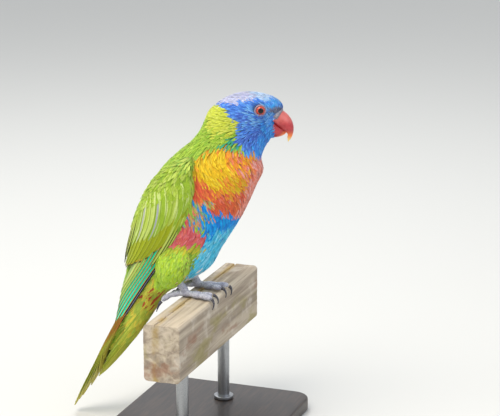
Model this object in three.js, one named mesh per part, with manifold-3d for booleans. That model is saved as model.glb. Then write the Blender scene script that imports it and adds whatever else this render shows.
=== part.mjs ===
// A life-size rainbow lorikeet, perched across a short length of weathered timber rail on a plain display stand.
// Millimetres, +Z up. The bird faces +X, its left side is +Y, and the rail runs along Y.
// All bird and rail sizes are measured from the point between the feet on top of the rail. The whole is then
// raised by RAIL_TOP, so that the part's origin is under the middle of the stand's base.
import * as THREE from "three";
import Module from "manifold-3d";
import { mergeVertices } from "three/addons/utils/BufferGeometryUtils.js";

const wasm = await Module();
wasm.setup();

// Driving dimensions
const GAP = 0.3; // left between pieces that touch
const TAIL_TIP_DROP = 101.5; // how far the tail tip hangs below the top of the rail
const TAIL_CLEARANCE = 5; // from the tail tip to the floor
const RAIL_TOP = TAIL_TIP_DROP + TAIL_CLEARANCE;
const RAIL = { front: 22.5, back: -5, depth: 42, length: 160, corner: 3 };
const BASE = { length: 150, width: 124, thick: 10, corner: 14, bevel: 1.5, centre: 8 };
const ROD = { radius: 4.5, spread: 42, x: 8.75 };
const HEAD_TURN = THREE.MathUtils.degToRad(10); // the head is turned a little to the bird's left
const NECK_AXIS_X = 30;
const NECK_LOW = 104;
const NECK_HIGH = 124;

// The sleeve of head, neck, body and tail coverts: back point, front point and half width of each slice
const BODY = [
  [34.5, 151.4, 55.8, 151.2, 9], // crown
  [24, 146.5, 64, 148.4, 13], // brow
  [15.6, 139.2, 68.6, 142.9, 15.2], // eye
  [12, 131.5, 64.4, 133.6, 16.6], // cheek
  [8.2, 123.5, 61, 122.6, 17.2], // chin
  [1.5, 115.3, 56, 113.3, 18.2], // throat
  [-9.5, 106, 53.2, 105.2, 21.5], // top of the breast
  [-20.5, 95, 54.6, 96, 25], // breast
  [-28.5, 82.5, 50, 86.2, 26.5],
  [-34.5, 69, 45, 74.8, 27], // middle of the body
  [-39, 55, 39, 62.3, 25.5],
  [-42.5, 41, 31.8, 50, 23.2], // belly
  [-45.5, 27, 23, 36, 20],
  [-47.5, 14, 14, 20.5, 16.5], // between the legs
  [-50, 2, -5, 7, 13.5], // vent
  [-53, -8, -20.5, -3, 11], // rump
  [-57, -20, -29.5, -17, 10], // tail coverts
  [-62, -33, -39.5, -32, 9],
  [-67, -46, -51, -47, 7.5],
  [-71.5, -58, -66, -60, 5],
];
const HEAD_END = 5.4;
const NECK_END = 7.2;
const TORSO_END = 16;
const COVERTS_END = 19.4;
const CUT = 0.015; // half a thin cut, as a share of the way between two slices
const WIDEST = 0.47; // where a slice is widest, from its back point to its front point
const SQUARENESS = 0.96; // below 1, a slice is fuller than an ellipse
const CROWN_START = 0.04; // where the head's rings begin beside the pole
const AROUND = 30; // points round the head, the neck and the torso

// The cloak: the outer surface of the folded wings, as arcs from the back's midline round to each side.
// Back point, centre of the arc, half width, then the arc's angles at the wing's upper and lower edge.
const CLOAK = [
  [-9.5, 105.8, 12, 108.5, 22, 64, 82],
  [-21.5, 95, 8, 102, 28, 42, 94],
  [-31, 81.5, 2, 93, 31.5, 33, 103],
  [-37.5, 68, -3, 82, 32.5, 26, 113],
  [-43, 53, -9, 68, 32, 18, 122],
  [-47.5, 38, -15, 53, 30.5, 11, 127],
  [-50.5, 23, -21, 38, 27, 6, 126],
  [-53, 9, -28, 22, 22, 4, 120],
  [-57, -6, -37, 4, 16.5, 4, 108],
  [-60.5, -22, -47, -16, 12, 5, 94],
  [-65, -40, -60, -38, 7, 8, 85],
];
const CLOAK_FULLNESS = 0.72; // keeps the lower edges of the wings from curling in under the body

const colours = {
  blue: 0x3d6fd0,
  green: 0x7fae1c,
  breast: 0xd9532f,
  flight: 0x2fae5a,
  tail: 0x8fae22,
  bill: 0xd8413a,
  cere: 0xb9b2b0,
  eye: 0x14110f,
  skin: 0x8d8f9c,
  claw: 0x3a383d,
  timber: 0xb9b0a0,
  stand: 0x2c2926,
};

const range = (n) => Array.from({ length: n }, (_, i) => i);
const steps = (from, to, n) => range(n).map((i) => from + ((to - from) * i) / (n - 1));
const mix = THREE.MathUtils.lerp;

// A value between the rows of a table, on a smooth curve through them
function along(table, s, column) {
  const last = table.length - 1;
  const i = Math.min(Math.max(Math.floor(s), 0), last - 1);
  const at = (k) => table[Math.min(Math.max(k, 0), last)][column];
  const f = s - i;
  const [a, b, c, d] = [at(i - 1), at(i), at(i + 1), at(i + 2)];
  return b + 0.5 * f * (c - a + f * (2 * a - 5 * b + 4 * c - d + f * (3 * (b - c) + d - a)));
}

// The body's table with a pole on top of the crown, and mirrored rows beyond it, so that the crown is a dome
const POLE = [46, 152.8, 46, 152.8, 0];
const mirrored = BODY.slice(0, 2).map(([bx, bz, fx, fz, half]) => [fx, fz, bx, bz, -half]);
const SLEEVE = [...mirrored.reverse(), POLE, ...BODY];
const POLE_ROW = mirrored.length;

function turned(point) {
  const f = THREE.MathUtils.smoothstep(point.z, NECK_LOW, NECK_HIGH);
  const axis = new THREE.Vector3(NECK_AXIS_X, 0, 0);
  return point.sub(axis).applyAxisAngle(new THREE.Vector3(0, 0, 1), HEAD_TURN * f).add(axis);
}

// A point of the sleeve: s counts slices from the crown, angle runs from the front round the bird's left side
function sleeve(s, angle, lift = 0) {
  const [bx, bz, fx, fz, half] = [0, 1, 2, 3, 4].map((c) => along(SLEEVE, s + POLE_ROW, c));
  const back = new THREE.Vector3(bx, 0, bz);
  const line = new THREE.Vector3(fx - bx, 0, fz - bz);
  const length = line.length();
  const ahead = line.clone().divideScalar(length || 1);
  const full = (v) => Math.sign(v) * Math.abs(v) ** SQUARENESS;
  const [c, w] = [full(Math.cos(angle)), full(Math.sin(angle))];
  const reach = (c > 0 ? 1 - WIDEST : WIDEST) * length + lift;
  const point = back.addScaledVector(ahead, WIDEST * length + c * reach);
  point.y = w * (half + lift);
  return turned(point);
}

// A point of the cloak: side is 1 on the left and -1 on the right, lift is measured outwards
function cloak(side, k, angle, lift = 0) {
  const [bx, bz, cx, cz, half] = [0, 1, 2, 3, 4].map((c) => along(CLOAK, k, c));
  const out = new THREE.Vector3(bx - cx, 0, bz - cz);
  const reach = out.length();
  out.divideScalar(reach);
  const c = Math.cos(angle);
  const w = Math.sin(angle) ** (c < 0 ? CLOAK_FULLNESS : 1);
  const normal = new THREE.Vector2(c / reach, w / half).normalize();
  const point = new THREE.Vector3(cx, 0, cz).addScaledVector(out, c * reach + normal.x * lift);
  point.y = side * (w * half + normal.y * lift);
  return point;
}
const cloakEdges = (k) => [5, 6].map((c) => THREE.MathUtils.degToRad(along(CLOAK, k, c)));

// A closed solid from vertices and faces, turned to face outwards
function solid(points, faces) {
  const geometry = new THREE.BufferGeometry().setFromPoints(points).setIndex(faces);
  return fromGeometry(geometry);
}

function fromGeometry(geometry) {
  const bare = geometry.index ? geometry.toNonIndexed() : geometry.clone();
  const shape = new THREE.BufferGeometry().setAttribute("position", bare.getAttribute("position"));
  const merged = mergeVertices(shape, 1e-4);
  const vertices = merged.getAttribute("position").array;
  const faces = [];
  let volume = 0;
  const corner = (i) => new THREE.Vector3(...vertices.subarray(3 * i, 3 * i + 3));
  for (let i = 0; i < merged.index.count; i += 3) {
    const [a, b, c] = merged.index.array.subarray(i, i + 3);
    if (a === b || b === c || a === c) continue;
    faces.push([a, b, c]);
    volume += corner(a).dot(corner(b).cross(corner(c)));
  }
  const outward = volume < 0 ? faces.map(([a, b, c]) => [a, c, b]) : faces;
  const triVerts = new Uint32Array(outward.flat());
  const mesh = new wasm.Mesh({ numProp: 3, vertProperties: new Float32Array(vertices), triVerts });
  return new wasm.Manifold(mesh);
}

// Rings joined into a closed solid, each end closed on its middle
function loft(rings) {
  const n = rings[0].length;
  const points = rings.flat();
  const faces = [];
  for (let r = 0; r + 1 < rings.length; r++)
    for (let i = 0; i < n; i++) {
      const [a, b] = [r * n + i, r * n + ((i + 1) % n)];
      faces.push(a, b, b + n, a, b + n, a + n);
    }
  for (const [ring, start, flip] of [
    [rings[0], 0, true],
    [rings.at(-1), points.length - n, false],
  ]) {
    const middle = ring.reduce((sum, p) => sum.add(p), new THREE.Vector3()).divideScalar(n);
    const m = points.push(middle) - 1;
    for (let i = 0; i < n; i++) {
      const [a, b] = [start + i, start + ((i + 1) % n)];
      faces.push(...(flip ? [b, a, m] : [a, b, m]));
    }
  }
  return solid(points, faces);
}

// A closed slab between two grids of points of the same size, split into triangles alike on both faces
function slab(top, bottom) {
  const rows = top.length;
  const n = top[0].length;
  const points = [...top.flat(), ...bottom.flat()];
  const under = rows * n;
  const faces = [];
  const quad = (a, b, c, d) => faces.push(a, b, c, a, c, d);
  for (let r = 0; r + 1 < rows; r++)
    for (let i = 0; i + 1 < n; i++) {
      const a = r * n + i;
      faces.push(a, a + 1, a + n + 1, a, a + n + 1, a + n);
      faces.push(under + a, under + a + n + 1, under + a + 1, under + a, under + a + n, under + a + n + 1);
    }
  for (let r = 0; r + 1 < rows; r++) {
    const [a, b] = [r * n, r * n + n - 1];
    quad(a, a + n, under + a + n, under + a);
    quad(b + n, b, under + b, under + b + n);
  }
  for (let i = 0; i + 1 < n; i++) {
    const b = (rows - 1) * n + i;
    quad(i + 1, i, under + i, under + i + 1);
    quad(b, b + 1, under + b + 1, under + b);
  }
  return solid(points, faces);
}

// The largest closed surface of a solid, so that a scrap or a sealed hollow is dropped
function largest(shape) {
  return shape.decompose().reduce((best, body) => (body.volume() > best.volume() ? body : best));
}

// A piece of the sleeve from one slice to another
function bodyForm(from, to, rows, around, lift = 0) {
  const ring = (s) => range(around).map((i) => sleeve(s, (2 * Math.PI * i) / around, lift));
  return loft(steps(from, to, rows).map(ring));
}

// A tube along a path, round in section, with its own radius at each row
function tube(path, radius, rows, sides, flatness = 1) {
  const centres = steps(0, 1, rows).map(path);
  const rings = centres.map((centre, r) => {
    const before = centres[Math.max(r - 1, 0)];
    const after = centres[Math.min(r + 1, rows - 1)];
    const ahead = after.clone().sub(before).normalize();
    const side = new THREE.Vector3(0, 0, 1).cross(ahead);
    if (side.length() < 0.1) side.set(0, 1, 0);
    side.normalize();
    const up = ahead.clone().cross(side);
    const size = radius(r / (rows - 1));
    return range(sides).map((i) => {
      const a = (2 * Math.PI * (i + 0.5)) / sides;
      return centre
        .clone()
        .addScaledVector(side, size * Math.cos(a))
        .addScaledVector(up, size * flatness * Math.sin(a));
    });
  });
  return loft(rings);
}

// Slices of the bill: upper point, lower point and half width, joined into rings widest part of the way down
function billForm(slices, widest, rows, around, lift = 0) {
  const rings = steps(0, slices.length - 1, rows).map((s) => {
    const [ax, az, bx, bz, half] = [0, 1, 2, 3, 4].map((c) => along(slices, s, c));
    const upper = new THREE.Vector3(ax, 0, az);
    const lower = new THREE.Vector3(bx, 0, bz);
    const middle = upper.clone().lerp(lower, widest);
    const axis = upper.clone().sub(lower);
    const length = axis.length();
    axis.normalize();
    return range(around).map((i) => {
      const a = (2 * Math.PI * i) / around;
      const reach = (Math.cos(a) > 0 ? widest : 1 - widest) * length + lift;
      const point = middle.clone().addScaledVector(axis, reach * Math.cos(a));
      point.y = (half + lift) * Math.sin(a);
      return point;
    });
  });
  return loft(rings);
}

const headTurned = (shape) =>
  shape
    .translate([-NECK_AXIS_X, 0, 0])
    .rotate([0, 0, THREE.MathUtils.radToDeg(HEAD_TURN)])
    .translate([NECK_AXIS_X, 0, 0]);

// Head, bill and eyes
const HEAD_ROWS = 13;
const EYE = { x: 53.8, y: 10.2, z: 142.5, radius: 4.4 };
const LID = { x: 54.5, y: 12.9, radius: 4.15, tube: 0.85, out: 0.32 };
const MAXILLA = [
  [58, 141.5, 57, 133.5, 7],
  [66.4, 141, 62.4, 133.2, 7],
  [71, 138.5, 65.6, 130.7, 6.4],
  [74.5, 134, 68.7, 128.2, 5.2],
  [76.1, 128.9, 71, 126, 3.7],
  [75.8, 124.4, 72.1, 123.5, 2.3],
  [74.5, 120.7, 71.9, 121, 1.3],
  [72.7, 118, 72.3, 118, 0.3],
];
const MANDIBLE = [
  [57, 133.5, 56.5, 121, 5.8],
  [62.2, 133, 60.8, 120.7, 5.6],
  [65.4, 130.5, 64.6, 121, 4.9],
  [68.4, 128, 67.6, 121.9, 3.7],
  [70.5, 126.2, 70.1, 123.3, 2.2],
  [71.3, 125.4, 71.3, 125, 0.5],
];
const TOMIUM = 0.74; // how far down the upper bill is widest
const GONYS = 0.3; // how far down the lower bill is widest
const BILL_ROWS = 13;
const BILL_AROUND = 14;
const CERE = { slices: 3, rows: 5, lift: 1.5, floor: 137.4 };
const NOSTRIL = { x: 69, y: 4.4, z: 141.6, radius: 1.15 };

function ball(x, y, z, radius, detail = 12) {
  const sphere = new THREE.SphereGeometry(radius, detail, Math.round(detail * 0.7));
  return fromGeometry(sphere.translate(x, y, z));
}

function makeHead() {
  let head = bodyForm(CROWN_START, HEAD_END - CUT, HEAD_ROWS, AROUND);
  for (const side of [-1, 1]) {
    const ring = new THREE.TorusGeometry(LID.radius, LID.tube, 6, 16).rotateX(Math.PI / 2);
    ring.rotateZ(-side * LID.out).translate(LID.x, side * LID.y, EYE.z);
    head = head.add(headTurned(fromGeometry(ring)));
    head = head.subtract(headTurned(ball(EYE.x, side * EYE.y, EYE.z, EYE.radius + GAP)));
  }
  return largest(head);
}

const headClear = bodyForm(CROWN_START, HEAD_END + 1, HEAD_ROWS + 2, AROUND, GAP);

function makeEye(side) {
  return headTurned(ball(EYE.x, side * EYE.y, EYE.z, EYE.radius));
}

const maxillaWhole = billForm(MAXILLA, TOMIUM, BILL_ROWS, BILL_AROUND);
const maxillaClear = billForm(MAXILLA, TOMIUM, BILL_ROWS, BILL_AROUND, GAP);

function makeUpperBill() {
  return largest(headTurned(maxillaWhole).subtract(headClear));
}

function makeLowerBill() {
  const shape = billForm(MANDIBLE, GONYS, BILL_ROWS - 4, BILL_AROUND - 2).subtract(maxillaClear);
  return largest(headTurned(shape).subtract(headClear));
}

function makeCere() {
  const whole = billForm(MAXILLA.slice(0, CERE.slices), TOMIUM, CERE.rows, BILL_AROUND, CERE.lift);
  let cere = whole.subtract(maxillaClear).trimByPlane([0, 0, 1], CERE.floor);
  for (const side of [-1, 1]) {
    const nostril = ball(NOSTRIL.x, side * NOSTRIL.y, NOSTRIL.z, NOSTRIL.radius, 8);
    cere = cere.subtract(nostril);
  }
  return largest(headTurned(cere).subtract(headClear));
}

// The wings: each has a core along the body, and tiers of long feathers over it, like shingles.
// The core's top sinks below the cloak where the feathers begin. The core fills the room down to the body as far
// as its last row but one.
const WING = { start: 0.12, end: 8.2, top: -0.4, sunk: -2.2, sinks: [2, 3.6] };
const WING_UNDER = { full: -8, thin: -3.2, thins: 7.2 };
const WING_ROWS = steps(WING.start, WING.end, 12);
const WING_SHARES = steps(0.99, 0.01, 9);
const BEYOND_CORE = [8.9, 9.5, 10.3]; // rows past the core's end, where only feathers are
const COAT_ROOM = 6; // more than the wing's feathers rise
const wingTop = (k) => mix(WING.top, WING.sunk, THREE.MathUtils.smoothstep(k, ...WING.sinks));
function wingUnder(k) {
  const f = THREE.MathUtils.smoothstep(k, WING_UNDER.thins, WING.end);
  return mix(WING_UNDER.full, WING_UNDER.thin, f);
}

// The arc's angle at a share of the wing's width up from its lower edge, and at a distance up from that edge
function wingAngle(k, share) {
  const [upper, lower] = cloakEdges(k);
  return mix(lower, upper, share);
}
function wingRadius(k) {
  const reach = Math.hypot(along(CLOAK, k, 0) - along(CLOAK, k, 2), along(CLOAK, k, 1) - along(CLOAK, k, 3));
  return (reach + along(CLOAK, k, 4)) / 2;
}
const wingDistance = (k, distance) => cloakEdges(k)[1] - distance / wingRadius(k);

// The room that a wing takes from the top of its coat to its underside, with a gap, from one row on
function wingClear(side, row, below) {
  const rows = [...WING_ROWS.slice(row), ...BEYOND_CORE];
  const shares = [1.25, ...WING_SHARES, below];
  const across = (k, lift) => shares.map((share) => cloak(side, k, wingAngle(k, share), lift));
  const top = rows.map((k) => across(k, COAT_ROOM));
  return slab(top, rows.map((k) => across(k, wingUnder(k) - GAP)));
}

// Legs and feet. The thigh's slices: middle, half length and half width
const FOOT = { x: 0, y: 11.8, z: 3.9, radius: 3.3 };
const HEEL = { x: -7, y: 13, z: 12 };
const THIGH = [
  [-7, 15.5, 42, 11, 7],
  [-8, 16.5, 29, 13.5, 9],
  [-9.5, 15.8, 18, 12, 8.5],
  [-11.2, 14.6, 11, 8.6, 6.5],
  [-12, 13.6, 7, 4.8, 4.2],
];
const TOES = [
  { name: "inner_front", turn: 8, length: 20, radius: 2.1, claw: 7 },
  { name: "outer_front", turn: -14, length: 23, radius: 2.3, claw: 6 },
  { name: "inner_back", turn: 165, length: 13, radius: 2, claw: 6.5 },
  { name: "outer_back", turn: -159, length: 19, radius: 2.2, claw: 7.5 },
];
const DRAPE = { start: 4, radius: 16 }; // the hind toes hang in an arc past the rail's back edge

const THIGH_ROWS = 9;
const THIGH_AROUND = 14;
const LEG = { heel: 2.8, foot: 3, rows: 4, sides: 9 };
const TOE = { rows: 8, sides: 7, flatness: 0.9, root: 1.12, end: 0.84, above: 0.55 };
const KNUCKLES = { size: 1.04, swell: 0.12, count: 2.5 };
const CLAW = { rows: 5, sides: 7, root: 1.55, tip: 0.35, above: 0.5, tipAbove: 0.9 };

const TORSO_ROWS = 18;
const torsoClear = bodyForm(NECK_END - 0.5, TORSO_END + 1, TORSO_ROWS + 3, AROUND, GAP);

function thighForm(side, lift) {
  const rings = steps(0, THIGH.length - 1, THIGH_ROWS).map((s) => {
    const [x, y, z, long, wide] = [0, 1, 2, 3, 4].map((c) => along(THIGH, s, c));
    return range(THIGH_AROUND).map((i) => {
      const a = (2 * Math.PI * i) / THIGH_AROUND;
      return new THREE.Vector3(x + (long + lift) * Math.cos(a), side * y + (wide + lift) * Math.sin(a), z);
    });
  });
  return loft(rings);
}

function makeThigh(side) {
  const shape = thighForm(side, 0).subtract(torsoClear);
  return largest(shape.subtract(wingClear(side, 5, -0.16)));
}

// Where a toe is at a distance from the foot. Forwards it lies on the rail and goes down over its rounded edge,
// and backwards it hangs in an arc.
function grip(distance, height) {
  const flat = RAIL.front - RAIL.corner;
  const bend = RAIL.corner + height;
  const angle = THREE.MathUtils.clamp((distance - flat) / bend, 0, Math.PI / 2);
  const beyond = Math.max(distance - flat - (bend * Math.PI) / 2, 0);
  const x = Math.min(distance, flat) + bend * Math.sin(angle);
  return [x, height - bend * (1 - Math.cos(angle)) - beyond];
}
function drape(distance, height) {
  const angle = Math.max(distance - DRAPE.start, 0) / DRAPE.radius;
  const x = Math.min(distance, DRAPE.start) + DRAPE.radius * Math.sin(angle);
  return [-x, height - DRAPE.radius * (1 - Math.cos(angle))];
}

function toePoint(side, toe, distance, height) {
  const turn = THREE.MathUtils.degToRad(toe.turn);
  const along = distance * Math.abs(Math.cos(turn));
  const [x, z] = Math.cos(turn) > 0 ? grip(along, height) : drape(along, height);
  return new THREE.Vector3(FOOT.x + x, side * (FOOT.y - distance * Math.sin(turn)), z);
}

function makeFoot(side) {
  const heel = new THREE.Vector3(HEEL.x, side * HEEL.y, HEEL.z);
  const sole = new THREE.Vector3(FOOT.x, side * FOOT.y, FOOT.z);
  let foot = tube((t) => heel.clone().lerp(sole, t), (t) => mix(LEG.heel, LEG.foot, t), LEG.rows, LEG.sides);
  foot = foot.add(ball(FOOT.x, side * FOOT.y, FOOT.z, FOOT.radius, 10));
  for (const toe of TOES) {
    const path = (t) => toePoint(side, toe, t * toe.length, toe.radius + TOE.above);
    const knuckle = (t) => KNUCKLES.size + KNUCKLES.swell * Math.cos(t * 2 * Math.PI * KNUCKLES.count);
    const radius = (t) => toe.radius * knuckle(t) * mix(TOE.root, TOE.end, t);
    foot = foot.add(tube(path, radius, TOE.rows, TOE.sides, TOE.flatness));
  }
  return largest(foot.subtract(thighForm(side, GAP)).subtract(torsoClear).subtract(railForm(GAP)));
}

function makeClaw(side, toe, foot) {
  const start = toe.length + GAP;
  const height = (t) => mix(toe.radius + CLAW.above, CLAW.tipAbove, t * t);
  const path = (t) => toePoint(side, toe, start + t * toe.claw, height(t));
  const claw = tube(path, (t) => mix(CLAW.root, CLAW.tip, t), CLAW.rows, CLAW.sides);
  const ahead = path(0.1).sub(path(0)).setLength(GAP);
  return largest(claw.subtract(foot).subtract(foot.translate(ahead.toArray())).subtract(railForm(GAP)));
}

// Tiers of feathers, from under to over. A tier's feathers start at one place along the wing and end each at its
// own. Their shafts keep one distance from each other, the first one's from the wing's lower edge.
const TIERS = [
  // primaries
  { root: 5.9, ends: [9.85, 10, 9.85, 9.5, 9.1, 8.65, 8.15], first: 2.6, apart: 3.9, half: 4.6, lift: -0.9 },
  // secondaries
  { root: 4, ends: [6.75, 6.95, 7.1, 7.1, 7.1, 7], first: 5, apart: 8.2, half: 6.8, lift: -0.2 },
  // greater coverts
  { root: 2.4, ends: [4.7, 4.95, 5.15, 5.25, 5.25, 5.2], first: 6, apart: 9.8, half: 7.8, lift: 0.3 },
];
const VANE = { thick: 0.6, gap: 0.3, ridge: 0.15, sunk: -1 };
const VANE_ROWS = [
  // share of the way to the tip, share of the half width, share of the rise to the tier's height
  [0, 0.55, 0],
  [0.3, 0.95, 0.85],
  [0.62, 1, 1],
  [0.87, 0.72, 1],
  [1, 0.14, 1],
];

// A feather lies over its neighbour towards the wing's lower edge, and under the next one
function wingVane(side, tier, index) {
  const distance = tier.first + index * tier.apart;
  const tilt = (VANE.thick + VANE.gap) / tier.apart;
  const grid = (thick) =>
    VANE_ROWS.map(([t, width, rise]) => {
      const k = mix(tier.root, tier.ends[index], t);
      const half = tier.half * width;
      const middle = wingDistance(k, distance);
      const sunk = wingTop(k) + VANE.sunk;
      return [-1, 0, 1].map((edge) => {
        const lift = mix(sunk, tier.lift, rise) + tilt * half * edge * rise + (edge ? 0 : VANE.ridge);
        return cloak(side, k, middle + (edge * half) / wingRadius(k), lift - thick);
      });
    });
  return slab(grid(0), grid(VANE.thick));
}

function makeWing(side) {
  const across = (k, lift) => WING_SHARES.map((share) => cloak(side, k, wingAngle(k, share), lift));
  const top = WING_ROWS.map((k) => across(k, wingTop(k)));
  let wing = slab(top, WING_ROWS.map((k) => across(k, wingUnder(k))));
  for (const tier of TIERS) {
    for (const i of range(tier.ends.length)) wing = wing.add(wingVane(side, tier, i));
  }
  wing = wing.subtract(torsoClear);
  return largest(wing.trimByPlane([0, side, 0], GAP / 2));
}

// The tail: coverts that go on from the rump, and six pairs of feathers, the middle pair longest and on top.
// The feathers are pressed together under the wing tips, and lie one under another with a gap beyond them.
const TAIL = { x: -50, z: -18, tilt: 62.4, reach: 95, top: 4.2, apart: 0.95, close: 0.82 };
const TAIL_PRESSED = { share: 0.5, from: 0.34, to: 0.6 };
const TAIL_VANE = { thick: 0.6, ridge: 0.2 };
const TAIL_PAIRS = [
  // share of the tail's length, half width, distance from the middle at root and tip
  { reach: 1, half: 6.2, spread: [2.8, 1.5] },
  { reach: 0.915, half: 6.2, spread: [4, 4.2] },
  { reach: 0.81, half: 6.4, spread: [5, 6.4] },
  { reach: 0.69, half: 6.4, spread: [6, 8] },
  { reach: 0.57, half: 6.2, spread: [7, 9.4] },
  { reach: 0.45, half: 5.8, spread: [8, 10.4] },
];
const TAIL_ROWS = [
  // share of the way to the tip, share of the half width
  [0, 0.7],
  [0.3, 1],
  [0.62, 0.95],
  [0.86, 0.62],
  [1, 0.16],
];

function tailVane(side, order) {
  const pair = TAIL_PAIRS[order];
  const tilt = THREE.MathUtils.degToRad(TAIL.tilt);
  const down = new THREE.Vector3(-Math.cos(tilt), 0, -Math.sin(tilt));
  const out = new THREE.Vector3(-Math.sin(tilt), 0, Math.cos(tilt));
  const root = new THREE.Vector3(TAIL.x, 0, TAIL.z);
  const level = 2 * order + (side > 0 ? 0 : 1);
  const grid = (thick) =>
    TAIL_ROWS.map(([t, width]) => {
      const distance = t * pair.reach;
      const open = THREE.MathUtils.smoothstep(distance, TAIL_PRESSED.from, TAIL_PRESSED.to);
      const apart = TAIL.apart * mix(1, TAIL.close, distance) * mix(TAIL_PRESSED.share, 1, open);
      const height = TAIL.top - level * apart;
      const middle = root.clone().addScaledVector(down, distance * TAIL.reach);
      return [-1, 0, 1].map((edge) => {
        const point = middle.clone().addScaledVector(out, height + (edge ? 0 : TAIL_VANE.ridge) - thick);
        point.y = side * mix(pair.spread[0], pair.spread[1], t) + edge * pair.half * width;
        return point;
      });
    });
  return slab(grid(0), grid(TAIL_VANE.thick));
}

function makeTail() {
  let tail = bodyForm(TORSO_END + 2 * CUT, COVERTS_END, 8, 20);
  for (const order of range(TAIL_PAIRS.length)) {
    for (const side of [-1, 1]) tail = tail.add(tailVane(side, order));
  }
  for (const side of [-1, 1]) tail = tail.subtract(wingClear(side, 7, -0.4));
  return largest(tail);
}

// The rail, with rounded worn edges and a narrow groove where two boards meet
const GROOVE = { x: 3.5, width: 1.2, depth: 2 };
function railForm(lift = 0) {
  const [back, front] = [RAIL.back - lift, RAIL.front + lift];
  const r = RAIL.corner + lift;
  const shape = new THREE.Shape();
  shape.moveTo(back, -RAIL.depth - lift);
  shape.lineTo(front, -RAIL.depth - lift);
  shape.lineTo(front, lift - r);
  shape.absarc(front - r, lift - r, r, 0, Math.PI / 2);
  if (!lift) {
    shape.lineTo(GROOVE.x + GROOVE.width, 0);
    shape.lineTo(GROOVE.x + GROOVE.width / 2, -GROOVE.depth);
    shape.lineTo(GROOVE.x, 0);
  }
  shape.lineTo(back + r, lift);
  shape.absarc(back + r, lift - r, r, Math.PI / 2, Math.PI);
  shape.closePath();
  const options = { depth: RAIL.length, bevelEnabled: false, curveSegments: 5 };
  const geometry = new THREE.ExtrudeGeometry(shape, options);
  geometry.rotateX(Math.PI / 2).translate(0, RAIL.length / 2, 0);
  return fromGeometry(geometry);
}

// The stand: a flat base with rounded corners, and two short rods
function makeBase() {
  const { length, width, thick, corner, bevel, centre } = BASE;
  const [x, y] = [width / 2 - bevel, length / 2 - bevel];
  const shape = new THREE.Shape();
  shape.moveTo(x, corner - y);
  shape.absarc(x - corner, y - corner, corner, 0, Math.PI / 2);
  shape.absarc(corner - x, y - corner, corner, Math.PI / 2, Math.PI);
  shape.absarc(corner - x, corner - y, corner, Math.PI, 1.5 * Math.PI);
  shape.absarc(x - corner, corner - y, corner, 1.5 * Math.PI, 2 * Math.PI);
  const rounding = { bevelThickness: bevel, bevelSize: bevel, bevelSegments: 1, curveSegments: 4 };
  const geometry = new THREE.ExtrudeGeometry(shape, { depth: thick - 2 * bevel, ...rounding });
  return fromGeometry(geometry.translate(centre, 0, bevel - RAIL_TOP));
}

function makeRod(side) {
  const low = BASE.thick + GAP - RAIL_TOP;
  const high = -RAIL.depth - GAP;
  const geometry = new THREE.CylinderGeometry(ROD.radius, ROD.radius, high - low, 16);
  geometry.rotateX(Math.PI / 2).translate(ROD.x, side * ROD.spread, (low + high) / 2);
  return fromGeometry(geometry);
}

// Assembly
const model = new THREE.Group();
model.name = "rainbow_lorikeet";
model.position.set(-BASE.centre, 0, RAIL_TOP);

function place(name, shape, colour, roughness = 0.8) {
  const made = shape.getMesh();
  const geometry = new THREE.BufferGeometry();
  geometry.setAttribute("position", new THREE.BufferAttribute(new Float32Array(made.vertProperties), 3));
  geometry.setIndex(new THREE.BufferAttribute(new Uint32Array(made.triVerts), 1));
  geometry.computeVertexNormals();
  const material = new THREE.MeshStandardMaterial({ color: colour, roughness, metalness: 0 });
  const mesh = new THREE.Mesh(geometry, material);
  mesh.name = name;
  model.add(mesh);
}

place("head", makeHead(), colours.blue);
place("neck", bodyForm(HEAD_END + CUT, NECK_END - CUT, 6, AROUND), colours.blue);
place("torso", bodyForm(NECK_END + CUT, TORSO_END, TORSO_ROWS, AROUND), colours.breast);
place("bill_upper", makeUpperBill(), colours.bill, 0.35);
place("bill_lower", makeLowerBill(), colours.bill, 0.35);
place("cere", makeCere(), colours.cere, 0.6);
place("tail", makeTail(), colours.tail);
for (const [side, word] of [
  [-1, "right"],
  [1, "left"],
]) {
  place("eye_" + word, makeEye(side), colours.eye, 0.1);
  place("wing_" + word, makeWing(side), colours.flight);
  place("thigh_" + word, makeThigh(side), colours.green);
  const foot = makeFoot(side);
  place("foot_" + word, foot, colours.skin, 0.6);
  for (const toe of TOES) {
    place("claw_" + word + "_" + toe.name, makeClaw(side, toe, foot), colours.claw, 0.4);
  }
  place("stand_rod_" + word, makeRod(side), colours.stand, 0.4);
}
place("perch_rail", railForm(), colours.timber, 0.9);
place("stand_base", makeBase(), colours.stand, 0.5);

export default model;
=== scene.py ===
# A rainbow lorikeet, life size, perched on a short length of weathered rail over a plain display stand.
# Lengths are in metres. The bird faces +X, its left side is +Y and the rail runs along Y.
import math
import bpy
import numpy as np
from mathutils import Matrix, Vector
from mathutils.bvhtree import BVHTree
from mathutils.kdtree import KDTree


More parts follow.
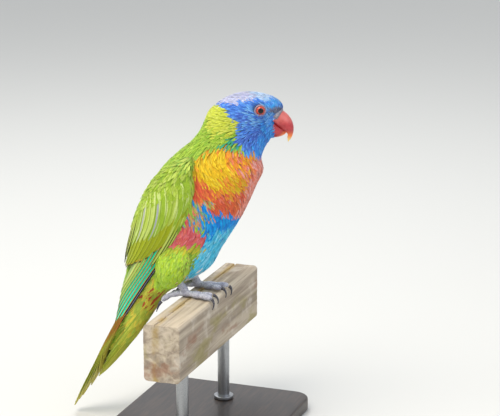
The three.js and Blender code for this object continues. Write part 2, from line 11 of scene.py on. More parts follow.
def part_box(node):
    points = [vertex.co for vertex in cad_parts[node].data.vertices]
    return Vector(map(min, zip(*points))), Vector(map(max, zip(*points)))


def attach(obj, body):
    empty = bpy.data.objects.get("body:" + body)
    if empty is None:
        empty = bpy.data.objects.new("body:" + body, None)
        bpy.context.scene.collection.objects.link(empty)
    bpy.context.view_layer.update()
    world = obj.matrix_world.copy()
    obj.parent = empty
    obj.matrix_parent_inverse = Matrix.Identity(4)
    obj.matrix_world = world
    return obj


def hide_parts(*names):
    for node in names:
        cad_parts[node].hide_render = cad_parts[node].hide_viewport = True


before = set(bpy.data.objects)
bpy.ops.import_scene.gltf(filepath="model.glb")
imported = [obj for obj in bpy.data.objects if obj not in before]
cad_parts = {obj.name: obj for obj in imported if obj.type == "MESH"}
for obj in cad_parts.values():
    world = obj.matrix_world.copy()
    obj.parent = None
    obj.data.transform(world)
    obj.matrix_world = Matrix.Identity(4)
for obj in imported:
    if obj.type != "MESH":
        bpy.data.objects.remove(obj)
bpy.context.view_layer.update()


# The stand's base is a flat board of dark stained wood. Its corners are rounded with a router and its
# rims are broken with sandpaper, and it lies flat on the table.
MM = 0.001
BASE_CORNER = 14 * MM
BASE_RIM = 1.5 * MM
CRISP = math.radians(35)  # an edge sharper than this stays an edge
NEAR = 1e-5


class Wire:
    """A value on its way through a material's nodes. It takes part in Python expressions."""

    def __init__(self, finish, socket):
        self.finish = finish
        self.socket = socket

    def math(self, operation, *values):
        inputs = dict(enumerate((self, *values)))
        return self.finish.node("Math", {"operation": operation}, inputs)

    def __add__(self, other):
        return self.math("ADD", other)

    __radd__ = __add__

    def __mul__(self, other):
        return self.math("MULTIPLY", other)

    __rmul__ = __mul__

    def __sub__(self, other):
        return self.math("SUBTRACT", other)

    def __rsub__(self, other):
        return self * -1 + other

    def __truediv__(self, other):
        return self.math("DIVIDE", other)

    def __abs__(self):
        return self.math("ABSOLUTE")

    def ramp(self, low, high):
        """0 at low, 1 at high, and smooth between them."""
        settings = {"interpolation_type": "SMOOTHSTEP"}
        return self.finish.node("MapRange", settings, {0: self, 1: low, 2: high})


def paint(code):
    """A colour code as linear red, green, blue and 1."""
    channels = [int(code[i : i + 2], 16) / 255 for i in (1, 3, 5)]
    return (*(c / 12.92 if c <= 0.04045 else ((c + 0.055) / 1.055) ** 2.4 for c in channels), 1.0)


class Finish:
    """A material with one Principled shader, and one method that adds any other node."""

    def __init__(self, name, **sockets):
        self.material = bpy.data.materials.new(name)
        self.material.use_nodes = True
        self.nodes = self.material.node_tree.nodes
        self.shader = self.nodes["Principled BSDF"]
        for socket, value in sockets.items():
            self.set(socket.replace("_", " "), value)

    def join(self, value, socket):
        if isinstance(value, Wire):
            self.material.node_tree.links.new(value.socket, socket)
        else:
            socket.default_value = value

    def node(self, kind, settings=None, sockets=None, output=0):
        made = self.nodes.new("ShaderNode" + kind)
        for name, value in (settings or {}).items():
            setattr(made, name, value)
        for name, value in (sockets or {}).items():
            self.join(value, made.inputs[name])
        return Wire(self, made.outputs[output])

    def set(self, socket, value):
        self.join(value, self.shader.inputs[socket])

    def blend(self, factor, first, second, kind="MIX"):
        """Two colours mixed by the factor."""
        first, second = (paint(tone) if isinstance(tone, str) else tone for tone in (first, second))
        settings = {"data_type": "RGBA", "blend_type": kind}
        return self.node("Mix", settings, {0: factor, 6: first, 7: second}, output=2)

    def layers(self, tone, *coats):
        """A colour with others laid over it one by one, each as strongly as its factor says."""
        for factor, coat in coats:
            tone = self.blend(factor, tone, coat)
        return tone

    def colour(self, tone, *coats):
        self.set("Base Color", self.layers(tone, *coats))

    def place(self, scale=(1, 1, 1), move=(0, 0, 0)):
        """The point on the piece, in metres, moved and scaled."""
        point = self.node("TexCoord", output="Object")
        return self.node("Mapping", None, {"Vector": point, "Location": move, "Scale": scale})

    def axes(self, where):
        """The three numbers of a point."""
        split = self.node("SeparateXYZ", None, {"Vector": where}).socket.node
        return [Wire(self, output) for output in split.outputs]

    def length(self, where):
        return self.node("VectorMath", {"operation": "LENGTH"}, {0: where}, output=1)

    def noise(self, where, scale, detail=3.0, roughness=0.5, distortion=0.0):
        sockets = {"Vector": where, "Scale": scale, "Detail": detail, "Roughness": roughness}
        return self.node("TexNoise", None, {**sockets, "Distortion": distortion})

    def attribute(self, name, output=0):
        return self.node("Attribute", {"attribute_name": name}, output=output)

    def bump(self, height, distance, strength=1.0):
        sockets = {"Height": height, "Distance": distance, "Strength": strength}
        self.set("Normal", self.node("Bump", None, sockets))


def settle(piece, finish, slot, *nodes):
    """Gives a piece its material, hides the nodes it stands for, and lets it ride on the part. The slot is
    not used.
    """
    piece.data.materials.clear()
    piece.data.materials.append(finish.material)
    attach(piece, "root")
    if nodes:
        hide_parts(*nodes)


def primitive(add, name, **options):
    """A new primitive with nothing else selected, in edit mode."""
    bpy.ops.object.select_all(action="DESELECT")
    add(**options)
    piece = bpy.context.active_object
    piece.name = piece.data.name = name
    bpy.ops.object.transform_apply(location=True, rotation=True, scale=True)
    bpy.ops.object.mode_set(mode="EDIT")
    return piece


def pick(piece, kind, chosen):
    """In edit mode, selects only the edges or faces that the test chooses."""
    bpy.ops.mesh.select_mode(type=kind)
    bpy.ops.mesh.select_all(action="DESELECT")
    bpy.ops.object.mode_set(mode="OBJECT")
    mesh = piece.data
    for item in mesh.edges if kind == "EDGE" else mesh.polygons:
        item.select = bool(chosen(item, [mesh.vertices[v].co for v in item.vertices]))
    bpy.ops.object.mode_set(mode="EDIT")


def close_edit(crisp=None):
    """Leaves edit mode, and shades the piece smooth but for the edges sharper than crisp."""
    bpy.ops.object.mode_set(mode="OBJECT")
    if crisp is not None:
        bpy.ops.object.shade_smooth_by_angle(angle=crisp)


def node_box(node):
    return [np.array(corner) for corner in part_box(node)]


base_low, base_high = node_box("stand_base")
base = primitive(
    bpy.ops.mesh.primitive_cube_add,
    "base_board",
    size=1,
    location=tuple((base_low + base_high) / 2),
    scale=tuple(base_high - base_low),
)
pick(base, "EDGE", lambda edge, ends: abs(ends[0].z - ends[1].z) > NEAR)
bpy.ops.mesh.bevel(offset=BASE_CORNER, segments=10)
pick(base, "EDGE", lambda edge, ends: abs(ends[0].z - ends[1].z) < NEAR)
bpy.ops.mesh.bevel(offset=BASE_RIM, segments=4)
close_edit(CRISP)

board = Finish("dark_stained_wood", Roughness=0.45, Coat_Weight=0.25)
grain = board.noise(board.place(scale=(1, 0.09, 1)), 420, 4, 0.6, 0.4)
rings = board.noise(board.place(scale=(1, 0.05, 1)), 90, 2)
board.colour("#1f1712", (grain.ramp(0.35, 0.7), "#3a2c22"))
board.bump(grain * 0.5 + rings, 0.15 * MM, 0.5)
settle(base, board, "stand_board", "stand_base")


# Two short rods of brushed steel stand in the base and hold the rail. Each is turned on a lathe in one piece
# with the low, broad collar at its foot, and is screwed in from below.
SIDES = ((-1, "right"), (1, "left"))
ROD_SIDES = 48
COLLAR = {"radius": 7.5 * MM, "height": 2.4 * MM, "rim": 0.3 * MM}

steel = Finish("brushed_steel", Metallic=1.0, Roughness=0.32)
brushed = steel.noise(steel.place(scale=(1, 1, 14)), 900, 2)
steel.colour("#8f9296", (brushed.ramp(0.3, 0.7), "#b4b6b8"))
steel.bump(brushed, 0.03 * MM, 0.4)


def is_rim(ends, middle, radius):
    """True for an edge that runs round the collar's outer wall."""
    level = abs(ends[0].z - ends[1].z) < NEAR
    return level and all((end.xy - middle.xy).length > radius * 1.1 for end in ends)


for _, word in SIDES:
    node = "stand_rod_" + word
    low, high = node_box(node)
    middle = (low + high) / 2
    radius = (high[0] - low[0]) / 2
    rod = primitive(
        bpy.ops.mesh.primitive_cylinder_add,
        "rod_" + word,
        vertices=ROD_SIDES,
        radius=radius,
        depth=high[2] - low[2],
        location=tuple(middle),
    )
    top = low[2] + COLLAR["height"]
    bpy.ops.mesh.select_all(action="SELECT")
    bpy.ops.mesh.bisect(plane_co=(0, 0, top), plane_no=(0, 0, 1))
    pick(rod, "FACE", lambda face, ends: max(p.z for p in ends) < top + NEAR and abs(face.normal.z) < 0.5)
    bpy.ops.mesh.extrude_region_shrink_fatten(TRANSFORM_OT_shrink_fatten={"value": COLLAR["radius"] - radius})
    pick(rod, "EDGE", lambda edge, ends: is_rim(ends, Vector(middle), radius))
    bpy.ops.mesh.bevel(offset=COLLAR["rim"], segments=3)
    close_edit(CRISP)
    settle(rod, steel, "stand_steel", node)


# The rail is a cut length of old, grey timber from two boards side by side. Its edges are worn round, rain
# has raised the grain, and yellow lichen grows in the crack between the boards.
RAIL_EDGE = 3 * MM
RAIL_ROWS = 170
RAIL_AROUND = 300
CRACK = {"x": 4.1 * MM, "half": 0.6 * MM, "depth": 2 * MM, "wander": 0.5 * MM}
GRAIN_DEPTH = 0.35 * MM
FEET_AT = 5 * MM  # from the rail's back to the middle between the feet

rail_low, rail_high = node_box("perch_rail")
PERCH = np.array([rail_low[0] + FEET_AT, 0, rail_high[2]])


def step(value, low, high):
    """0 at low, 1 at high, and smooth between them."""
    t = np.clip((value - low) / (high - low), 0, 1)
    return t * t * (3 - 2 * t)


def waves(points, size, seed, octaves=4):
    """Smooth noise from about -1 to 1 for an array of points, as a sum of turned waves."""
    rng = np.random.default_rng(seed)
    total = np.zeros(len(points))
    for octave in range(octaves):
        for _ in range(5):
            way = rng.normal(size=3)
            way *= 2 * math.pi * 2**octave / (size * np.linalg.norm(way))
            total += np.sin(points @ way + rng.uniform(0, 6.3)) / 2**octave
    return total / 3


def vertices_of(piece):
    flat = np.empty(len(piece.data.vertices) * 3)
    piece.data.vertices.foreach_get("co", flat)
    return flat.reshape(-1, 3)


def wrapped(name, around, along, shape):
    """A flat grid wrapped into a closed form. shape(u, v) gives its points: u goes round it, v along it."""
    cuts = {"x_subdivisions": around, "y_subdivisions": along}
    piece = primitive(bpy.ops.mesh.primitive_grid_add, name, size=1, **cuts)
    bpy.ops.object.mode_set(mode="OBJECT")
    u, v = vertices_of(piece)[:, :2].T + 0.5
    piece.data.vertices.foreach_set("co", shape(u, v).ravel())
    bpy.ops.object.mode_set(mode="EDIT")
    bpy.ops.mesh.select_all(action="SELECT")
    bpy.ops.mesh.remove_doubles(threshold=NEAR)
    bpy.ops.mesh.fill_holes(sides=0)
    bpy.ops.mesh.normals_make_consistent(inside=False)
    close_edit(math.radians(60))
    return piece


def rail_shape(u, v):
    """The rail's worn surface: grain along it everywhere, and the crack in its top."""
    r = RAIL_EDGE
    middle = (rail_low + rail_high) / 2
    half = (rail_high - rail_low) / 2
    corners = []
    for sx, sz, start in ((1, 1, 90), (1, -1, 0), (-1, -1, -90), (-1, 1, -180)):
        for a in np.radians(np.linspace(start, start - 90, 9)):
            x = middle[0] + sx * (half[0] - r) + r * math.cos(a)
            corners.append((x, middle[2] + sz * (half[2] - r) + r * math.sin(a)))
    line = np.array(corners + corners[:1])
    reach = np.concatenate([[0], np.cumsum(np.hypot(*np.diff(line, axis=0).T))])
    x = np.interp(u * reach[-1], reach, line[:, 0])
    z = np.interp(u * reach[-1], reach, line[:, 1])
    y = rail_low[1] + v * (rail_high[1] - rail_low[1])
    points = np.stack([x, y, z], -1)
    fibres = waves(points * [1, 0.04, 1], 5 * MM, 3)
    worn = waves(points * [1, 0.15, 1], 14 * MM, 4)
    deep = GRAIN_DEPTH * (0.4 + 0.35 * fibres + 0.25 * worn).clip(0, 1)
    points += (middle - points) * [1, 0, 1] * (deep / np.hypot(x - middle[0], z - middle[2]))[:, None]
    wander = CRACK["wander"] * waves(points * [0, 1, 0], 30 * MM, 5)
    wide = CRACK["half"] * (1.3 + 0.5 * waves(points * [0, 1, 0], 9 * MM, 6))
    open_part = 1 - abs(x - PERCH[0] - CRACK["x"] - wander) / wide
    top = z > rail_high[2] - r / 2
    points[:, 2] -= np.where(top, CRACK["depth"] * open_part.clip(0, 1) ** 0.6, 0)
    return points


rail = wrapped("perch", RAIL_AROUND, RAIL_ROWS, rail_shape)

timber = Finish("weathered_timber", Roughness=0.88, Specular_IOR_Level=0.25)
stretched = timber.place(scale=(1, 0.045, 1))
fibre = timber.noise(stretched, 700, 5, 0.6, 0.3)
band = timber.noise(stretched, 170, 3, 0.55, 0.6)
patch = timber.noise(timber.place(), 55, 4, 0.6)
stain = timber.noise(timber.place(scale=(1, 0.4, 1), move=(0.3, 0, 0)), 42, 4, 0.65)
across, _, below = timber.axes(timber.place(move=(-PERCH[0] - CRACK["x"], 0, -rail_high[2])))
lichen = (1 - (abs(across) * 260).ramp(0.1, 1.1)) * patch.ramp(0.4, 0.6)
low_down = (below * -90).ramp(0.5, 1.6)
timber.colour(
    "#8c7f70",
    (band.ramp(0.3, 0.72), "#c2b5a0"),
    (fibre.ramp(0.56, 0.72) * 0.55, "#7c7264"),
    (patch.ramp(0.5, 0.72) * 0.5, "#d6cdbe"),
    (lichen * 0.8, "#a58b4e"),
    (stain.ramp(0.5, 0.66) * low_down * 0.6, "#8d8548"),
    ((1 - stain.ramp(0.32, 0.44)) * low_down * 0.6, "#8a5f48"),
)
timber.bump(fibre * 0.6 + band * 0.8, 0.5 * MM, 0.8)
settle(rail, timber, "weathered_timber", "perch_rail")


# The feet grip the rail with two toes in front and two behind. Grey skin covers them, in broad scutes on top
# of the toes and small round scales at the sides, with soft pads under the joints.
FOOT = {"x": 0, "y": 11.8 * MM, "z": 3.9 * MM}
HEEL = {"x": -7 * MM, "y": 13 * MM, "z": 13 * MM}
TOES = {
    # name: (turn in degrees, length, radius, claw)
    "inner_front": (8, 20 * MM, 2.1 * MM, 7 * MM),
    "outer_front": (-14, 23 * MM, 2.3 * MM, 6 * MM),
    "inner_back": (165, 13 * MM, 2 * MM, 6.5 * MM),
    "outer_back": (-159, 19 * MM, 2.2 * MM, 7.5 * MM),
}
LEG = {"radius": 2.9 * MM, "flare": 0.25 * MM, "scutes": 12}
PADS = {"size": 1.03, "swell": 0.12, "turns": 5}  # swellings under a toe, against its radius
RAIL_FRONT = rail_high[0] - PERCH[0]
DRAPE = {"start": 4 * MM, "radius": 16 * MM}
ABOVE = 0.55 * MM  # between a toe and the rail
SCUTE = 1.25 * MM
FLATNESS = 0.93  # a toe's height against its width
SKIN_VOXEL = 0.33 * MM


def toe_place(side, toe, distance, height):
    """A point over the toe's line: forwards it goes down over the rail's rounded edge, backwards it hangs."""
    turn = math.radians(TOES[toe][0])
    reach = distance * abs(math.cos(turn))
    if math.cos(turn) > 0:
        flat = RAIL_FRONT - RAIL_EDGE
        bend = RAIL_EDGE + height
        angle = np.clip((reach - flat) / bend, 0, math.pi / 2)
        beyond = np.maximum(reach - flat - bend * math.pi / 2, 0)
        x = np.minimum(reach, flat) + bend * np.sin(angle)
        z = height - bend * (1 - np.cos(angle)) - beyond
    else:
        angle = np.maximum(reach - DRAPE["start"], 0) / DRAPE["radius"]
        x = -np.minimum(reach, DRAPE["start"]) - DRAPE["radius"] * np.sin(angle)
        z = height - DRAPE["radius"] * (1 - np.cos(angle))
    y = side * (FOOT["y"] - distance * math.sin(turn))
    return PERCH + np.stack([FOOT["x"] + x, y, z], -1)


def unit(vectors):
    return vectors / np.maximum(np.linalg.norm(vectors, axis=-1, keepdims=True), 1e-12)


def tube(path, radius, u, t):
    """Points of a tube: u goes round it, t along its path, and radius depends on both."""
    ahead = unit(path(t + 0.01) - path(t - 0.01))
    side = unit(np.cross((0, 0, 1), ahead) + [0, 1e-6, 0])
    up = np.cross(ahead, side)
    a = 2 * math.pi * u
    wide = radius(t, u)
    return path(t) + side * (np.cos(a) * wide)[:, None] + up * (np.sin(a) * wide * FLATNESS)[:, None]


def rounded_ends(t, share):
    """1 along a tube, falling to 0 in a round end over this share of it."""
    return np.sqrt(np.clip(1 - np.clip((share - np.minimum(t, 1 - t)) / share, 0, 1) ** 2, 0, 1))


def toe_skin(side, toe):
    length, thick = TOES[toe][1:3]

    def path(t):
        return toe_place(side, toe, t * length, thick + ABOVE)

    def radius(t, u):
        pads = PADS["size"] + PADS["swell"] * np.cos(t * PADS["turns"] * math.pi)
        above = np.sin(2 * math.pi * u).clip(0, 1) ** 0.6
        scutes = 1 + 0.075 * above * (((t * length / SCUTE) % 1) - 0.5)
        return thick * pads * (1.12 - 0.28 * t) * scutes * rounded_ends(t, 0.06)

    return wrapped("toe", 40, 120, lambda u, v: tube(path, radius, u, v))


def leg_skin(side):
    heel = PERCH + [HEEL["x"], side * HEEL["y"], HEEL["z"]]
    sole = PERCH + [FOOT["x"], side * FOOT["y"], FOOT["z"]]

    def path(t):
        return heel + (sole - heel) * np.asarray(t)[..., None] * 1.08

    def radius(t, u):
        scutes = 1 + 0.05 * (((t * LEG["scutes"]) % 1) - 0.5)
        return (LEG["radius"] + LEG["flare"] * t) * scutes * rounded_ends(t, 0.2)

    return wrapped("leg", 36, 70, lambda u, v: tube(path, radius, u, v))


def select_only(*pieces):
    bpy.ops.object.select_all(action="DESELECT")
    for piece in pieces:
        piece.select_set(True)
    bpy.context.view_layer.objects.active = pieces[0]


def joined(pieces, name):
    select_only(*pieces)
    bpy.ops.object.join()
    pieces[0].name = pieces[0].data.name = name
    return pieces[0]


def apply_modifier(piece, kind, **settings):
    select_only(piece)
    modifier = piece.modifiers.new(kind.lower(), kind)
    for name, value in settings.items():
        setattr(modifier, name, value)
    bpy.ops.object.modifier_apply(modifier=modifier.name)


def fused(pieces, name, voxel, rounds):
    """Pieces grown together into one skin."""
    piece = joined(pieces, name)
    apply_modifier(piece, "REMESH", mode="VOXEL", voxel_size=voxel)
    apply_modifier(piece, "SMOOTH", factor=0.5, iterations=rounds)
    piece.data.shade_smooth()
    return piece


scaly = Finish("grey_foot_skin", Roughness=0.62, Specular_IOR_Level=0.35)
cells = scaly.node("TexVoronoi", {"feature": "DISTANCE_TO_EDGE"}, {"Vector": scaly.place(), "Scale": 1500})
mottle = scaly.noise(scaly.place(), 420, 3)
seams = (1 - cells.ramp(0.0, 0.16)) * 0.7
scaly.colour("#afb0c2", (mottle.ramp(0.3, 0.7), "#dadce6"), (seams, "#5a5a6c"))
scaly.bump(cells.ramp(0.0, 0.25), 0.22 * MM, 0.8)

for side, word in SIDES:
    flesh = [leg_skin(side)] + [toe_skin(side, toe) for toe in TOES]
    settle(fused(flesh, "foot_skin_" + word, SKIN_VOXEL, 1), scaly, "foot_skin", "foot_" + word)


# Each toe ends in a curved claw of dark horn, grown from the toe's last joint. It is thick at the root and
# sharp at the tip, and it leans on the timber or hangs beside it.
CLAW = {"root": 1.6 * MM, "tip": 0.3 * MM, "above": 0.5 * MM, "tip_above": 0.9 * MM, "gap": 0.3 * MM}

horn = Finish("dark_claw_horn", Roughness=0.3, Coat_Weight=0.3)
streak = horn.noise(horn.place(), 900, 3)
horn.colour("#2b2a30", (streak.ramp(0.35, 0.7), "#55535c"))
horn.bump(streak, 0.05 * MM, 0.4)


def claw_shape(side, toe, u, v):
    length, thick, claw = TOES[toe][1:]

    def path(t):
        high = thick + CLAW["above"] + (CLAW["tip_above"] - thick - CLAW["above"]) * np.clip(t, 0, 1) ** 2
        return toe_place(side, toe, length + CLAW["gap"] + t * claw, high)

    def radius(t, u):
        taper = CLAW["root"] + (CLAW["tip"] - CLAW["root"]) * t
        return taper * (1 - 0.22 * abs(np.cos(2 * math.pi * u))) * rounded_ends(t, 0.05)

    return tube(path, radius, u, v)


for side, word in SIDES:
    for toe in TOES:
        name = f"{word}_{toe}"
        claw = wrapped("claw_horn_" + name, 20, 24, lambda u, v: claw_shape(side, toe, u, v))
        settle(claw, horn, "claw_horn", "claw_" + name)


# Under the feathers the bird is one skin: head, neck, trunk and rump, with the folded wings and the thighs
# grown into it. It lies inside the outline by the depth of the coat, and carries the coat's colours darkened
# by painted shade.
COAT_DEPTH = 1.7 * MM
SKIN_GRAIN = 1.2 * MM
HEAD_TURN = math.radians(10)
NECK = {"axis": 30 * MM, "low": 104 * MM, "high": 124 * MM}
BODY = MM * np.array([
    # the back's x and z, the front's x and z, and half the width of each slice
    (34.5, 151.4, 55.8, 151.2, 9),  # crown
    (24, 146.5, 64, 148.4, 13),  # brow
    (15.6, 139.2, 68.6, 142.9, 15.2),  # eye
    (12, 131.5, 64.4, 133.6, 16.6),  # cheek
    (8.2, 123.5, 61, 122.6, 17.2),  # chin
    (1.5, 115.3, 56, 113.3, 18.2),  # throat
    (-9.5, 106, 53.2, 105.2, 21.5),  # top of the breast
    (-20.5, 95, 54.6, 96, 25),  # breast
    (-28.5, 82.5, 50, 86.2, 26.5),
    (-34.5, 69, 45, 74.8, 27),  # middle of the body
    (-39, 55, 39, 62.3, 25.5),
    (-42.5, 41, 31.8, 50, 23.2),  # belly
    (-45.5, 27, 23, 36, 20),
    (-47.5, 14, 14, 20.5, 16.5),  # between the legs
    (-50, 2, -5, 7, 13.5),  # vent
    (-53, -8, -20.5, -3, 11),  # rump
    (-57, -20, -29.5, -17, 10),  # tail coverts
    (-62, -33, -39.5, -32, 9),
    (-67, -46, -51, -47, 7.5),
    (-71.5, -58, -66, -60, 5),
])
BODY_END = 19.3
POLE = MM * np.array([(46, 152.8, 46, 152.8, 0)])  # the top of the head
OVER_CROWN = BODY[1::-1][:, [2, 3, 0, 1, 4]] * (1, 1, 1, 1, -1)
SLEEVE = np.vstack([OVER_CROWN, POLE, BODY])
POLE_ROW = len(OVER_CROWN)
WIDEST = 0.47  # the share of a slice's length, from the back, at which it is widest
SQUARENESS = 0.96
CLOAK = np.array([
    # the folded wing's slices: back point, centre of its arc, half width, and the arc's edges in degrees
    (-9.5, 105.8, 12, 108.5, 22, 64, 82),
    (-21.5, 95, 8, 102, 28, 42, 94),
    (-31, 81.5, 2, 93, 31.5, 33, 103),
    (-37.5, 68, -3, 82, 32.5, 26, 113),
    (-43, 53, -9, 68, 32, 18, 122),
    (-47.5, 38, -15, 53, 30.5, 11, 127),
    (-50.5, 23, -21, 38, 27, 6, 126),
    (-53, 9, -28, 22, 22, 4, 120),
    (-57, -6, -37, 4, 16.5, 4, 108),
    (-60.5, -22, -47, -16, 12, 5, 94),
    (-65, -40, -60, -38, 7, 8, 85),
])
CLOAK[:, :5] *= MM
FULLNESS = 0.72  # below 1, the wing's arc is fuller in front of its middle
ROLL = {"share": 0.09, "depth": 4.5 * MM}
THIGH = MM * np.array([
    # middle of each slice, half its length and half its width
    (-7, 15.5, 42, 11, 7),
    (-8, 16.5, 29, 13.5, 9),
    (-9.5, 15.8, 18, 12, 8.5),
    (-11.2, 14.6, 11, 8.6, 6.5),
    (-12, 13.6, 7, 4.8, 4.2),
])
THIGH_END = len(THIGH) - 1
# the wing's flesh: its first slice and how many it has, its two depths under the outline, in millimetres, the
# slice from which it is a thin sheet, and the share of the width that it leaves free at each edge
CORE = {"from": 0.15, "slices": 8.3, "outer": 2.6, "inner": 4.5, "thin": 7.2, "edge": 0.03}


def between(table, s):
    """Rows of a table at the numbers s, on a smooth curve through them."""
    last = len(table) - 1
    i = np.clip(np.floor(s).astype(int), 0, last - 1)
    f = (s - i)[..., None]
    a, b, c, d = (table[np.clip(i + n, 0, last)] for n in (-1, 0, 1, 2))
    return b + 0.5 * f * (c - a + f * (2 * a - 5 * b + 4 * c - d + f * (3 * (b - c) + d - a)))


def columns(table, s):
    """The columns of those rows, one by one."""
    return np.moveaxis(between(table, s), -1, 0)


def turn_head(points, share=1.0):
    """Points of the head, turned a little to the bird's left about the neck."""
    x, y = points[..., 0] - NECK["axis"], points[..., 1]
    c, w = np.cos(HEAD_TURN * share), np.sin(HEAD_TURN * share)
    return np.stack([NECK["axis"] + x * c - y * w, x * w + y * c, points[..., 2]], -1)


def sleeve(s, a, lift=0.0):
    """Points of the head and body. s counts slices down from the crown, a runs from the front to the left."""
    bx, bz, fx, fz, half = columns(SLEEVE, s + POLE_ROW)
    length = np.hypot(fx - bx, fz - bz)
    ahead = np.stack([fx - bx, fz - bz]) / np.maximum(length, 1e-9)
    c, w = (np.sign(v) * abs(v) ** SQUARENESS for v in (np.cos(a), np.sin(a)))
    out = lift * step(s, 0, 1.2)
    reach = WIDEST * length + c * (np.where(c > 0, 1 - WIDEST, WIDEST) * length + out)
    z = bz + ahead[1] * reach + lift * (1 - step(s, 0, 1.2))
    points = np.stack([bx + ahead[0] * reach, w * (half + out), z], -1)
    return PERCH + turn_head(points, step(z, NECK["low"], NECK["high"]))


def cloak(side, k, a, lift=0.0):
    """Points of a folded wing's outer face. k counts slices down from the shoulder, a runs from the back."""
    bx, bz, cx, cz, half = columns(CLOAK, k)[:5]
    reach = np.hypot(bx - cx, bz - cz)
    c = np.cos(a)
    w = np.sin(a) ** np.where(c < 0, FULLNESS, 1)
    normal = np.stack([c / reach, w / half])
    normal /= np.hypot(*normal)
    way = (c * reach + normal[0] * lift) / reach
    points = [cx + (bx - cx) * way, side * (w * half + normal[1] * lift), cz + (bz - cz) * way]
    return PERCH + np.stack(points, -1)


def cloak_angle(k, share):
    """The arc's angle at a share of the wing's width, from 0 at its lower edge to 1 at its upper edge."""
    upper, lower = np.radians(columns(CLOAK, k)[5:])
    return lower + (upper - lower) * share


def wing_surface(side, k, share, lift=0.0):
    """The folded wing's outer face. Past its lower edge, where share is below 0, it rolls in to the body."""
    over = np.clip(-share / ROLL["share"], 0, 1)
    return cloak(side, k, cloak_angle(k, share), lift - ROLL["depth"] * over**2)


def thigh(side, s, a, lift=0.0):
    x, y, z, long, wide = columns(THIGH, s)
    points = [x + (long + lift) * np.cos(a), side * y + (wide + lift) * np.sin(a), z]
    return PERCH + np.stack(points, -1)


def wing_core(side, u, v):
    """A closed slab inside the folded wing: its outer face, and then back along its inner face."""
    k = CORE["from"] + CORE["slices"] * v
    share = CORE["edge"] + (1 - 2 * CORE["edge"]) * abs(1 - 2 * u)
    inner = step(np.minimum(u, 1 - u), 0.02, 0.06) * (u < 0.5) * (k < CORE["thin"])
    return cloak(side, k, cloak_angle(k, share), (-CORE["outer"] - CORE["inner"] * inner) * MM)


def thigh_core(side, u, v):
    return thigh(side, THIGH_END * v, 2 * math.pi * u, -0.8 * COAT_DEPTH)


shells = [wrapped("trunk", 90, 190, lambda u, v: sleeve(v * BODY_END, 2 * math.pi * u, -COAT_DEPTH))]
for side, _ in SIDES:
    shells.append(wrapped("core", 48, 60, lambda u, v: wing_core(side, u, v)))
    shells.append(wrapped("thigh", 40, 30, lambda u, v: thigh_core(side, u, v)))
skin = fused(shells, "skin", SKIN_GRAIN, 3)


BESIDE = 1.5 * MM  # how far past a surface's edge it still covers a point
BURIED = 0.15 * MM  # how deep a place is inside another surface when feathers leave it for that one


def dot(a, b):
    return np.einsum("ij,ij->i", a, b)


class Form:
    """A surface that feathers grow on, from a grid of points: it finds the nearest place for any points."""

    def __init__(self, grids):
        points, faces = [], []
        for grid in grids:
            rows, width = grid.shape[:2]
            start = len(points)
            points += [tuple(p) for p in grid.reshape(-1, 3)]
            for r in range(rows - 1):
                for c in range(width - 1):
                    a = start + r * width + c
                    faces.append((a, a + 1, a + width + 1, a + width))
        self.tree = BVHTree.FromPolygons(points, faces)
        middle = np.mean(points, axis=0)
        some = points[:: len(points) // 200]
        self.outwards = np.sign(sum(np.dot(self.near(p)[1], np.subtract(p, middle)) for p in some))

    def near(self, point):
        place, normal, _, _ = self.tree.find_nearest(point)
        return place, normal

    def snap(self, points):
        """The nearest places of the surface and the normals there."""
        found = [self.near(p) for p in points]
        places = np.array([tuple(place) for place, _ in found])
        normals = np.array([tuple(normal) for _, normal in found]) * self.outwards
        return places, normals

    def covers(self, points, depth):
        """True for each point that lies under the surface, deeper than this, and not past its edge."""
        places, normals = self.snap(points)
        apart = points - places
        out = dot(apart, normals)
        aside = np.linalg.norm(apart - normals * out[:, None], axis=1)
        return (out < -depth) & (aside < BESIDE)


def grid_of(shape, first, second):
    return shape(*np.meshgrid(first, second, indexing="ij"))


circle = np.linspace(-math.pi, math.pi, 181)
trunk_form = Form([grid_of(sleeve, np.linspace(0.01, BODY_END, 320), circle)])
wing_rows, wing_columns = np.linspace(0.02, 8.4, 120), np.linspace(-ROLL["share"], 1, 70)
thigh_rows = np.linspace(0, THIGH_END, 60)
wing_forms, thigh_forms = {}, {}
for side, _ in SIDES:
    wing_forms[side] = Form([grid_of(lambda k, share: wing_surface(side, k, share), wing_rows, wing_columns)])
    thigh_forms[side] = Form([grid_of(lambda s, a: thigh(side, s, a), thigh_rows, circle)])


class Outermost:
    """Several surfaces as one: a point goes to the nearest place that none of the others covers."""

    def __init__(self, *pairs):
        self.forms_of_side = {side: (trunk_form, *(forms[side] for forms in pairs)) for side, _ in SIDES}

    def snap(self, points):
        places, normals = np.empty_like(points), np.empty_like(points)
        for side, forms in self.forms_of_side.items():
            mine = points[:, 1] >= 0 if side > 0 else points[:, 1] < 0
            if not mine.any():
                continue
            near = np.full(mine.sum(), np.inf)
            for form in forms:
                place, normal = form.snap(points[mine])
                away = np.linalg.norm(place - points[mine], axis=1)
                for other in forms:
                    if other is not form:
                        away[other.covers(place, BURIED)] = np.inf
                nearer = (away < near) | (form is forms[0])
                near = np.where(nearer, away, near)
                places[mine] = np.where(nearer[:, None], place, places[mine])
                normals[mine] = np.where(nearer[:, None], normal, normals[mine])
        return places, normals


whole_form = Outermost(thigh_forms, wing_forms)
leg_form = Outermost(thigh_forms)

# a point's slice and its turn from the front are those of the nearest of many known points
known_s, known_a = (v.ravel() for v in np.meshgrid(np.linspace(0.01, 19.6, 340), circle[:-1], indexing="ij"))
known = KDTree(len(known_s))
for i, point in enumerate(sleeve(known_s, known_a)):
    known.insert(point, i)
known.balance()


def on_body(points):
    i = np.array([known.find(p)[1] for p in points])
    return known_s[i], known_a[i]


